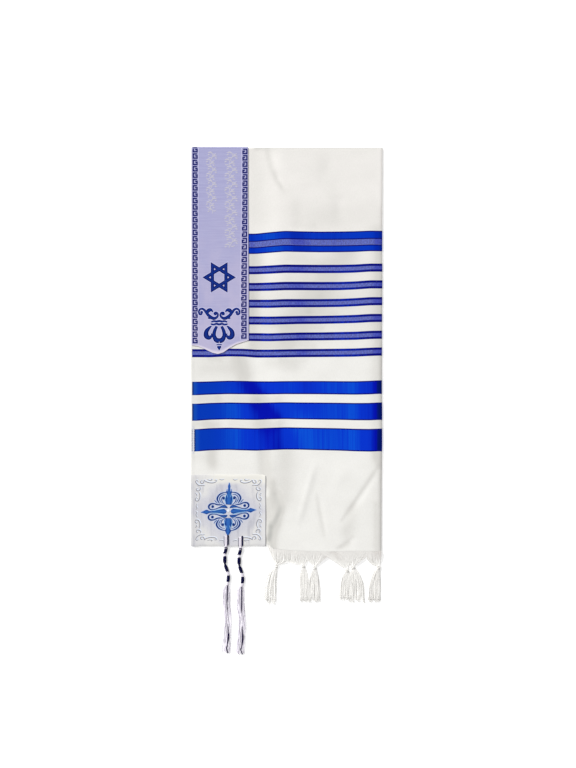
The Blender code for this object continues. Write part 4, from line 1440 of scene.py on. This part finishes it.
tasselForm = {
    "webPitch": 0.8,
    "webPoints": 16,
    "webYarn": 0.5,
    "hemJitter": 0.25,
    "aboveHem": 1.0,
    "underFace": 0.45,
    "clingReach": 14,
    "neckHalf": 2.0,
    "sway": 0.9,
    "webEnd": 2.5,
    "webEndJitter": 0.8,
    "restJitter": 1.4,
    "locks": 15,
    "yarnsPerLock": 4,
    "skirtTop": 5.2,
    "endJitter": 0.8,
    "strayEnds": 1.8,
    "bow": 1.5,
    "skirtPoints": 30,
    "yarn": 0.62,
    "crown": 0.8,
    "lockLow": 0.9,
    "lockStep": 1.5,
    "lockRipple": 0.3,
    "fall": (0.0, 0.3),
    "lockRadius": 0.95,
    "twist": 17.0,
    "knotRings": 5,
    "knotTall": 6.0,
    "knotWide": 3.7,
    "knotHigh": 2.3,
    "knotYarn": 0.6,
    "floor": 0.55,
    # The next lines give the painted shadow on the web under the hem, deeper at the places in shadowX, and
    # shade is the colour of painted shade on the yarn.
    "webShade": 0.34,
    "shadowX": (76, 90, 104, 160, 184),
    "shadow": (1.0, 2.2, 1.0, 1.0, 2.8),
    "light": paint(253, 252, 249),
    "dark": paint(234, 231, 226),
    "shade": paint(208, 203, 198),
}
# clingLeft and clingRight say how long the fringe's yarns hang straight before they run to the knot, and the
# last column is the painted shade on the skirt.
tasselColumns = (
    "node", "hemFrom", "hemTo", "clingLeft", "clingRight", "knotX", "knotY",
    "endFrom", "endTo", "endY", "uneven", "paintedShading",
)
tassels = table(tasselColumns, (
    (1, -38, 5, 1.5, 7.0, -20.5, -320.8, -43.5, -21.0, -398.5, 13, 0.0),
    (2, -1, 52, 7.0, 1.6, 31.0, -321.5, 23.5, 44.0, -393.0, 6, 0.08),
    (3, 28, 92, 1.3, 1.0, 53.4, -324.7, 42.0, 63.8, -393.5, 8, 0.08),
    (4, 60, 134, 1.0, 1.3, 116.5, -330.3, 103.0, 128.0, -391.0, 7, 0.1),
    (5, 110, 162, 1.3, 1.5, 128.5, -324.7, 123.0, 151.0, -395.0, 12, 0.1),
    (6, 156, 183.5, 4.5, 4.5, 178.6, -324.7, 157.5, 182.5, -393.5, 6, 0.25),
))


# Plied yarn: a spiral |sin| of dark and light round the tube, with flecks, painted shade where a shade colour
# is given, and a glow that is painted light.
def yarnMaterial(name, light, dark, glow=0.0, sheen=0.15, shade=None):
    material, t, shader = newMaterial(name, 0.85, sheen=sheen)
    vector, u, v = t.uv()
    spiral = t.plus(t.times(u, 2 * np.pi), t.times(v, 2 * np.pi * 0.75))
    ply = t.absolute(t.sine(t.times(spiral, 0.5)))
    fleck = t.grain(vector, 3.0, 0.7, 3.0)
    shader.inputs["Emission Color"].default_value = (1, 1, 1, 1)
    shader.inputs["Emission Strength"].default_value = glow
    colour = t.mix(t.fade(t.times(ply, fleck), 0.05, 0.4), dark, light)
    if shade:
        colour = t.mix(t.value("paintedShading"), colour, shade)
    t.plug(shader, "Base Color", colour)
    t.plug(shader, "Normal", t.bump(t.plus(ply, fleck), 0.3, 0.0003))
    return material


# The fringe's yarns from the hem to the knot: at a share t of the way down, t^cling of the way across.
def webYarns(row, rng):
    f = tasselForm
    count = int((row["hemTo"] - row["hemFrom"]) / f["webPitch"])
    hemX = np.linspace(row["hemFrom"], row["hemTo"], count)
    hemX = hemX + rng.uniform(-f["hemJitter"], f["hemJitter"], count)
    t = np.linspace(0, 1, f["webPoints"])[None, :]
    top = hemY(hemX) + f["aboveHem"]
    reach, clings = f["clingReach"], [row["clingLeft"], 1.0, row["clingRight"]]
    cling = np.interp(hemX - row["knotX"], [-reach, 0, reach], clings)[:, None]
    share = np.interp(hemX, [row["hemFrom"], row["hemTo"]], [-1, 1])
    across = t**cling
    x = hemX[:, None] * (1 - across) + (row["knotX"] + f["neckHalf"] * share[:, None]) * across
    sway = f["sway"] * t * (1 - t) * np.sin(6 * t + rng.uniform(0, 6, count)[:, None])
    down = t ** np.where(cling > 2, 0.8, 1.0)
    end = row["knotY"] + f["webEnd"] + rng.uniform(-f["webEndJitter"], f["webEndJitter"], count)
    y = top[:, None] * (1 - down) + end[:, None] * down
    z = (clothHeight(hemX, top) - f["underFace"])[:, None] * (1 - smoothStep(t, 0, 1))
    rest = f["floor"] + f["knotHigh"] + rng.uniform(-f["restJitter"], f["restJitter"], count)[:, None]
    return np.stack([x + sway, y, z + rest * smoothStep(t, 0, 1)], axis=2)


# The free yarns below the knot, twisted together four at a time into locks that spread at once and end
# unevenly: at a share d of the way down a lock is 1 - (1 - d)^3 of the way across to its end.
def skirtYarns(row, rng):
    f = tasselForm
    count = f["locks"] * f["yarnsPerLock"]
    lock = np.arange(count) // f["yarnsPerLock"]
    share = (lock + 0.5) / f["locks"]
    d = np.linspace(0, 1, f["skirtPoints"])[None, :]
    endX = row["endFrom"] + (row["endTo"] - row["endFrom"]) * share
    endX = endX + rng.normal(0, f["endJitter"], f["locks"])[lock]
    raised = rng.uniform(0, row["uneven"], f["locks"])[lock] + rng.uniform(0, f["strayEnds"], count)
    endY = row["endY"] + raised
    startX = row["knotX"] + f["skirtTop"] * (share - 0.5)
    startY = row["knotY"] + 1.0
    spread = 1 - (1 - d) ** 3
    phase, bow = rng.uniform(0, 2 * np.pi, (2, f["locks"]))[:, lock, None]
    x = startX[:, None] * (1 - spread) + endX[:, None] * spread
    x = x + f["bow"] * np.sin(1.9 * np.pi * d + phase) * d * (1.3 - d)
    y = startY * (1 - d) + endY[:, None] * d
    high = f["floor"] + f["knotHigh"] + f["crown"] * np.cos(np.pi * (2 * share - 1))[:, None]
    low = f["floor"] + f["lockLow"] + f["lockStep"] * (lock % 2)[:, None]
    low = low + f["lockRipple"] * np.sin(7 * d + bow)
    z = high + (low - high) * smoothStep(d, *f["fall"])
    spin = 2 * np.pi * (np.arange(count) % f["yarnsPerLock"])[:, None] / f["yarnsPerLock"]
    spin = spin + (startY - endY)[:, None] * d / f["twist"] * 2 * np.pi
    radius = f["lockRadius"] * (0.35 + 0.65 * smoothStep(d, 0.0, 0.15) + 0.8 * smoothStep(d, 0.82, 1.0))
    x, z = x + radius * np.cos(spin), z + 0.6 * radius * np.sin(spin)
    return np.stack([x, y, np.maximum(z, f["floor"] + 0.1)], axis=2)


# Rings of yarn round the knot, each tilted its own way and drawn in at both ends.
def knotRings(x, y, z, form, seed):
    rng = np.random.default_rng(seed)
    count = form["knotRings"]
    a = np.linspace(0, 2 * np.pi, 27)[None, :]
    place = np.linspace(-1, 1, count)[:, None]
    tilt = rng.uniform(0.5, 1.4, count)[:, None] * np.where(np.arange(count) % 2, 1, -1)[:, None]
    girth = np.sqrt(1 - 0.55 * place**2)
    px = x + form["knotWide"] * girth * np.cos(a)
    pz = z + form["knotHigh"] * girth * np.sin(a)
    py = y + form["knotTall"] / 2 * 0.8 * place + tilt * np.cos(a + rng.uniform(0, 1, count)[:, None])
    return np.stack([px, py, pz], axis=2)


# For each tassel its web, its skirt and the rings of its knot, as one piece.
def addTassels():
    f = tasselForm
    # The fringe yarn's small glow is painted light.
    material = yarnMaterial("fringe yarn", f["light"], f["dark"], 0.07, shade=f["shade"])
    webDown = np.linspace(0, 1, f["webPoints"])
    thin = np.interp(np.linspace(0, 1, f["skirtPoints"]), [0, 0.9, 1], [1.0, 1.0, 0.6])
    webSides = 5
    pieces = []
    for row in tassels:
        rng = np.random.default_rng(40 + row["node"])
        rings = knotRings(row["knotX"], row["knotY"], f["floor"] + f["knotHigh"] + 0.3, f, 60 + row["node"])
        web = webYarns(row, rng)
        # Painted shadow on the web, fading away from the hem.
        shadow = np.interp(web[:, 0, 0], f["shadowX"], f["shadow"])[:, None, None]
        shadow = shadow * (1 - smoothStep(webDown, 0.1, 0.8))[None, :, None]
        webShade = f["webShade"] * shadow * np.ones(webSides)
        parts = [
            tubes(web, f["webYarn"], webSides),
            tubes(skirtYarns(row, rng), f["yarn"] * thin, 5),
            tubes(rings, f["knotYarn"], 6),
        ]
        points, faces, uv = joinParts(parts)
        points[:, 2] = np.maximum(points[:, 2], 0.15)
        # Painted shade on the whole tassel, with the web's painted shadow over its first points.
        paintedShading = np.full(len(points), row["paintedShading"])
        paintedShading[: webShade.size] = webShade.ravel()
        piece = addMesh(f"fringe_{row['node']}", points, faces, material, uv, {"paintedShading": paintedShading})
        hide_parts(f"tassel_{row['node']}")
        pieces.append(piece)
    return pieces


threadForm = {
    "thread": 0.56,
    "coilPitch": 1.05,
    "turnPoints": 14,
    "floor": 0.5,
    "second": (27.9, -2.6),
    "core": (-284, -359),
    "coreCords": 5,
    "coreWide": 0.75,
    "knotPlaces": (-285.4, -300.4, -337.0, -355.8),
    "loopX": -118.4,
    "loopFrom": -261.5,
    "loopLong": 23.0,
    "loopCords": (-2.6, -1.3, 0.0, 1.2),
    "loopPoints": 26,
    "loopYarn": 0.8,
    "loopShadowYarn": 0.4,
    "besideYarn": 0.95,
    "loopGround": -118.0,
    "darkX": -114.5,
    "eyelet": (-122.6, -297.2, 3.0),
    "eyeletSize": (1.9, 2.2, 0.5),
    "eyeletYarn": 0.45,
    "coreYarn": 0.6,
    "knotYarn": 0.62,
    "knotLeast": 2.8,
    "lowest": 0.12,
}
threadKnot = {"knotRings": 4, "knotTall": 6.4, "knotWide": 3.0, "knotHigh": 2.3}
# The line that the windings follow, in mm.
threadLine = table(("x", "y", "z"), (
    (-118.2, -283.0, 5.6),
    (-118.6, -287.0, 3.4),
    (-119.4, -291.0, 2.6),
    (-120.6, -296.0, 2.5),
    (-121.4, -301.0, 2.4),
    (-121.2, -306.0, 2.4),
    (-121.4, -312.0, 2.4),
    (-121.2, -316.5, 2.4),
    (-119.8, -321.5, 2.4),
    (-117.8, -327.5, 2.5),
    (-116.0, -333.0, 2.5),
    (-114.8, -338.0, 2.8),
    (-114.2, -342.5, 2.5),
    (-114.9, -351.5, 2.5),
    (-115.8, -356.5, 2.8),
    (-116.2, -362.0, 2.5),
))
windings = table(("kind", "from", "to", "wide"), (
    ("white", -281.0, -285.4, 2.6),
    ("navy", -284.6, -297.4, 3.6),
    ("white", -298.2, -303.0, 2.6),
    ("navy", -302.8, -315.4, 3.7),
    ("navy", -315.0, -321.0, 2.3),
    ("navy", -320.6, -332.8, 3.7),
    ("white", -333.0, -340.4, 3.8),
    ("navy", -340.4, -352.8, 3.5),
    ("white", -353.2, -358.8, 3.6),
))


# The line's x and z at y, straight between its places.
def alongLine(y):
    down = [-p["y"] for p in threadLine]
    x, z = (np.interp(-y, down, [p[key] for p in threadLine]) for key in ("x", "z"))
    return np.stack([x, y, z], axis=-1)


# A helix round the line: pitch is the thread's width, and the radius is drawn in at both ends.
def coil(start, end, wide, pitch, thread):
    turns = abs(end - start) / pitch
    t = np.linspace(0, 1, int(turns * threadForm["turnPoints"]))
    centre = alongLine(start + (end - start) * t)
    a = 2 * np.pi * turns * t
    r = (wide - thread) * (0.82 + 0.18 * np.sin(np.pi * t) ** 0.4)
    path = centre + np.stack([r * np.cos(a), 0 * a, r * np.sin(a)], axis=1)
    return coilTube(path, a, thread)


# The coil's own tube: its section lies across the radius and the line's direction.
def coilTube(path, a, thread):
    sides = 6
    out = np.stack([np.cos(a), 0 * a, np.sin(a)], axis=1)
    along = np.array([0, -1.0, 0])
    s = np.arange(sides) * 2 * np.pi / sides
    ring = out[:, None] * np.cos(s)[:, None] + along * np.sin(s)[:, None]
    points = (path[:, None] + thread * ring).reshape(-1, 3)
    n = len(path)
    i, k = np.meshgrid(np.arange(n - 1), np.arange(sides), indexing="ij")
    p, q = (i * sides + k).ravel(), (i * sides + (k + 1) % sides).ravel()
    faces = np.stack([p, p + sides, q + sides, q], axis=1)
    length = np.cumsum(np.linalg.norm(np.diff(path, axis=0, prepend=path[:1]), axis=1))
    uv = np.stack(np.broadcast_arrays(s[None, :] / (2 * np.pi), length[:, None]), axis=2).reshape(-1, 2)
    return points, faces, uv


# Loose ends: x and z of each cord at a few stations, in mm from the brush's line.
brush = {
    "y": (-359.0, -366.0, -384.0, -404.0, -420.0, -440.0, -462.0, -478.0, -491.6),
    "middle": (-116.2, -117.2, -118.2, -117.6, -116.2, -116.0, -116.8, -117.8, -118.0),
    "half": (3.0, 6.6, 7.0, 6.4, 5.8, 6.0, 6.6, 7.4, 8.2),
    "cords": 16,
    "cordPoints": 90,
    "radius": 0.74,
    "wander": (0.28, 0.14),
    "wanderLong": (17.0, 7.0),
    "layers": 3,
    "layerHigh": 0.9,
    "lift": 0.75,
    "ripple": 0.4,
    "rippleLong": 11.0,
    "bound": 2.4,
    "boundSpan": (359, 368),
    "shortest": 0.955,
    "darkY": (359, 366, 384, 404, 412, 430, 446, 456, 466, 474, 482, 492),
    "darkX": (-116.2, -116.4, -116.8, -116.8, -116.2, -114.8, -115.0, -114.4, -114.8, -116.0, -118.0, -115.0),
    "darkZ": (3.4, 4.6, 4.8, 4.4, 1.4, 1.3, 4.2, 4.8, 4.6, 3.6, 3.8, 3.2),
    "darkRadius": (0.9, 1.0, 1.0, 0.9, 0.7, 0.7, 0.8, 1.6, 1.4, 0.8, 1.3, 1.0),
}


# The loose cords side by side, each at its share of the brush's width and wandering by two sines, lying
# three high, and one dark cord over them.
def brushCords(seed):
    rng = np.random.default_rng(seed)
    count, wander, long = brush["cords"], brush["wander"], brush["wanderLong"]
    y = np.linspace(brush["y"][0], brush["y"][-1], brush["cordPoints"])[None, :]
    down = [-v for v in brush["y"]]
    middle, half = np.interp(-y, down, brush["middle"]), np.interp(-y, down, brush["half"])
    share = np.linspace(-1, 1, count)[:, None]
    phase = rng.uniform(0, 2 * np.pi, (count, 1))
    fromTop = y - brush["y"][0]
    slow, quick = np.sin(fromTop / long[0] + phase), np.sin(fromTop / long[1] + 2 * phase)
    x = middle + half * np.clip(share + (wander[0] * slow + wander[1] * quick), -1.1, 1.1)
    layer = (np.arange(count) % brush["layers"])[:, None]
    lowest = threadForm["floor"] + brush["lift"]
    ripple = brush["ripple"] * np.sin(fromTop / brush["rippleLong"] + 3 * phase)
    z = lowest + brush["layerHigh"] * layer + ripple
    z = z + (brush["bound"] - z) * (1 - smoothStep(-y, *brush["boundSpan"]))
    path = np.stack([x, np.broadcast_to(y, x.shape), z], axis=2)
    cut = rng.uniform(brush["shortest"], 1.0, count)
    path[:, :, 1] = brush["y"][0] + (path[:, :, 1] - brush["y"][0]) * cut[:, None]
    darkKeys = ("darkX", "darkZ", "darkRadius")
    darkX, darkZ, radius = (np.interp(-y[0], brush["darkY"], brush[key]) for key in darkKeys)
    return path, np.stack([darkX, y[0], darkZ], axis=1), radius


# The loop: pale cords side by side out of the eyelet, over the patch and down past its edge, with a thin dark
# cord along their left edge as painted shade, and dark ones beside them. They come up out of the patch at one
# end and sink past its edge at the other.
def loopParts(surface, shift):
    f = threadForm
    t = np.linspace(0, 1, f["loopPoints"])
    y = f["loopFrom"] - f["loopLong"] * t
    onPatch = np.maximum(y + shift[1], surface.ss[0] + 0.5)
    top = surface.at(np.full(len(t), f["loopGround"]) + shift[0], onPatch, np.zeros(len(t)))[:, 2]
    z = top + 0.65 - 2.2 * (1 - smoothStep(t, 0, 0.12)) - 1.4 * smoothStep(t, 0.86, 1)
    narrowing = 1 - 0.55 * smoothStep(t, 0.7, 1)
    pale = np.array([np.stack([f["loopX"] + offset * narrowing, y, z], axis=1) for offset in f["loopCords"]])
    z = top + 0.8 - 2.4 * (1 - smoothStep(t, 0, 0.1)) - 1.6 * smoothStep(t, 0.86, 1)
    dark = np.stack([f["darkX"] - 2.2 * smoothStep(t, 0.8, 1), y + 1.5, z], axis=1)
    # A thin navy cord just left of and below the pale ones: a dark line put where their edge is in shade.
    under = tubes(pale[:1] - (1.5, 0, 0.5), f["loopShadowYarn"], 6)
    beside = tubes(np.array([dark, dark - (1.4, 0, 0.1)]), f["besideYarn"], 7)
    return tubes(pale, f["loopYarn"], 6), [under, beside]


# A corner thread's cords, windings, knots, loop and loose ends, as one piece of each colour.
def addCornerThread(name, node, shift, surface, materials, seed):
    f = threadForm
    parts = {"white": [], "navy": [], "plum": []}
    for row in windings:
        parts[row["kind"]].append(coil(row["from"], row["to"], row["wide"], f["coilPitch"], f["thread"]))
    angles = np.arange(f["coreCords"]) * 2 * np.pi / f["coreCords"]
    circle = np.stack([np.cos(angles), 0 * angles, np.sin(angles)], axis=1)[:, None]
    cores = alongLine(np.linspace(*f["core"], 60))[None] + f["coreWide"] * circle
    parts["white"].append(tubes(cores, f["coreYarn"], 6))
    for y in f["knotPlaces"]:
        x, _, z = alongLine(np.array(y))
        rings = knotRings(x, y, max(z, f["knotLeast"]), threadKnot, seed + int(-y))
        parts["white"].append(tubes(rings, f["knotYarn"], 6))
    paleLoop, darkLoops = loopParts(surface, shift)
    a = np.linspace(0, 2 * np.pi, 20)
    size = f["eyeletSize"]
    ring = np.stack([size[0] * np.cos(a), size[1] * np.sin(a), size[2] * np.cos(a)], axis=1)
    eyelet = f["eyelet"] + ring
    cords, dark, darkRadius = brushCords(seed)
    parts["white"] += [paleLoop, tubes(cords, brush["radius"], 6)]
    # The navy piece also holds the loop's dark cord of painted shade.
    parts["navy"] += darkLoops + [tubes(eyelet[None], f["eyeletYarn"], 6)]
    parts["plum"].append(tubes(dark[None], darkRadius, 8, 0.8))
    for kind in parts:
        points, faces, uv = joinParts(parts[kind])
        points = points + np.array([*shift, 0])
        points[:, 2] = np.maximum(points[:, 2], f["lowest"])
        piece = addMesh(f"{name}_{kind}", points, faces, materials[kind], uv)
    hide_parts(node)


sewingForm = {
    "low": -102.0,
    "high": -48.0,
    "pitch": 2.3,
    "slant": 0.5,
    "outer": -186.2,
    "inner": -180.4,
    "wide": 0.9,
    "rail": -182.4,
    "lift": (0.05, 0.3),
    "light": paint(240, 240, 246),
    "shade": paint(226, 228, 238),
}


# Stitches over the cloth's left edge, slanting by turns, with one thread along them.
def addOverlock(surface):
    f = sewingForm
    parts = []
    for k, at in enumerate(np.arange(f["low"], f["high"], f["pitch"])):
        across = np.linspace(f["outer"], f["inner"], 6)
        path = np.stack([across, at + f["slant"] * np.linspace(0, 1 if k % 2 else -1, 6)], axis=1)
        parts.append(stroke(surface, path, f["wide"], f["lift"]))
    rail = np.stack(np.broadcast_arrays(f["rail"], np.linspace(f["low"], f["high"], 60)), axis=1)
    parts.append(stroke(surface, rail, f["wide"], f["lift"]))
    material = threadMaterial("overlock thread", f["shade"], f["light"])
    return addOrnament("selvedge_sewing", parts, material)


# The cloth's face between two places across and two along, with points about a step apart.
def clothSurfaceNear(left, right, low, high):
    step = clothForm["step"]
    x = np.linspace(left, right, int((right - left) / step))
    y = np.linspace(low, high, int((high - low) / step))
    xx, yy = np.meshgrid(x, y, indexing="ij")
    return Surface(np.stack([xx, yy, clothHeight(xx, yy)], axis=2), x, y)


print("cloth")
cloth = clothMaterial()
shawl = addShawl(cloth)
addLayers(cloth)
print("neckband")
neckband, neckbandWork = addNeckband()
print("corner patch")
patch, patchWork, patchSheet = addPatch()
print("fringe")
fringe = addTassels()
print("corner threads")
threadMaterials = {
    # The white cord's small glow is painted light.
    "white": yarnMaterial("white cord", paint(250, 246, 252), paint(172, 162, 188), 0.05),
    "navy": yarnMaterial("navy cord", paint(10, 12, 70), paint(2, 2, 30), sheen=0.0),
    "plum": yarnMaterial("plum cord", paint(40, 28, 72), paint(12, 8, 34), sheen=0.0),
}
addCornerThread("corner_thread_left", "tzitzit_left", (0, 0), patchSheet, threadMaterials, 5)
second = threadForm["second"]
addCornerThread("corner_thread_right", "tzitzit_right", second, patchSheet, threadMaterials, 9)
print("sewing")
sewing = addOverlock(clothSurfaceNear(clothForm["left"], -150, -150, 120))

stageForm = {
    "floorHalf": 4.0,
    "floorColour": (0.93, 0.93, 0.93, 1),
    "floorGlow": 0.4,
    "world": 0.46,
    "sun": 3.6,
    "sunSoft": 0.5,
    "sunTurn": (1.0, 0.0, 3.95),
    "framePixels": 768,
    "pixelSize": 1.95,
    "lens": 150.0,
    "sensor": 36.0,
    "aim": (1.95, 33.0),
}


# A pale floor, an even sky, one soft sun, and a camera straight above, as high as its lens needs to see
# framePixels times pixelSize.
def addStage():
    f = stageForm
    h = f["floorHalf"]
    mesh = bpy.data.meshes.new("floor")
    mesh.from_pydata([(-h, -h, 0), (h, -h, 0), (h, h, 0), (-h, h, 0)], [], [(0, 1, 2, 3)])
    floor = bpy.data.objects.new("floor", mesh)
    bpy.context.collection.objects.link(floor)
    material = bpy.data.materials.new("floor")
    material.use_nodes = True
    shader = material.node_tree.nodes["Principled BSDF"]
    shader.inputs["Base Color"].default_value = f["floorColour"]
    shader.inputs["Roughness"].default_value = 1.0
    shader.inputs["Specular IOR Level"].default_value = 0.0
    shader.inputs["Emission Color"].default_value = (1, 1, 1, 1)
    shader.inputs["Emission Strength"].default_value = f["floorGlow"]
    mesh.materials.append(material)
    world = bpy.data.worlds.new("studio")
    bpy.context.scene.world = world
    world.use_nodes = True
    world.node_tree.nodes["Background"].inputs["Color"].default_value = (1, 1, 1, 1)
    world.node_tree.nodes["Background"].inputs["Strength"].default_value = f["world"]
    lamp = bpy.data.lights.new("window", "SUN")
    lamp.energy, lamp.angle = f["sun"], f["sunSoft"]
    sun = bpy.data.objects.new("window", lamp)
    sun.rotation_euler = f["sunTurn"]
    bpy.context.collection.objects.link(sun)
    data = bpy.data.cameras.new("camera")
    data.type, data.lens, data.sensor_width = "PERSP", f["lens"], f["sensor"]
    data.clip_end = 50
    camera = bpy.data.objects.new("camera", data)
    distance = f["framePixels"] * f["pixelSize"] * mm * f["lens"] / f["sensor"]
    camera.location = (f["aim"][0] * mm, f["aim"][1] * mm, distance)
    bpy.context.collection.objects.link(camera)
    bpy.context.scene.camera = camera
    bpy.context.scene.view_settings.view_transform = "Standard"


print("stage")
addStage()
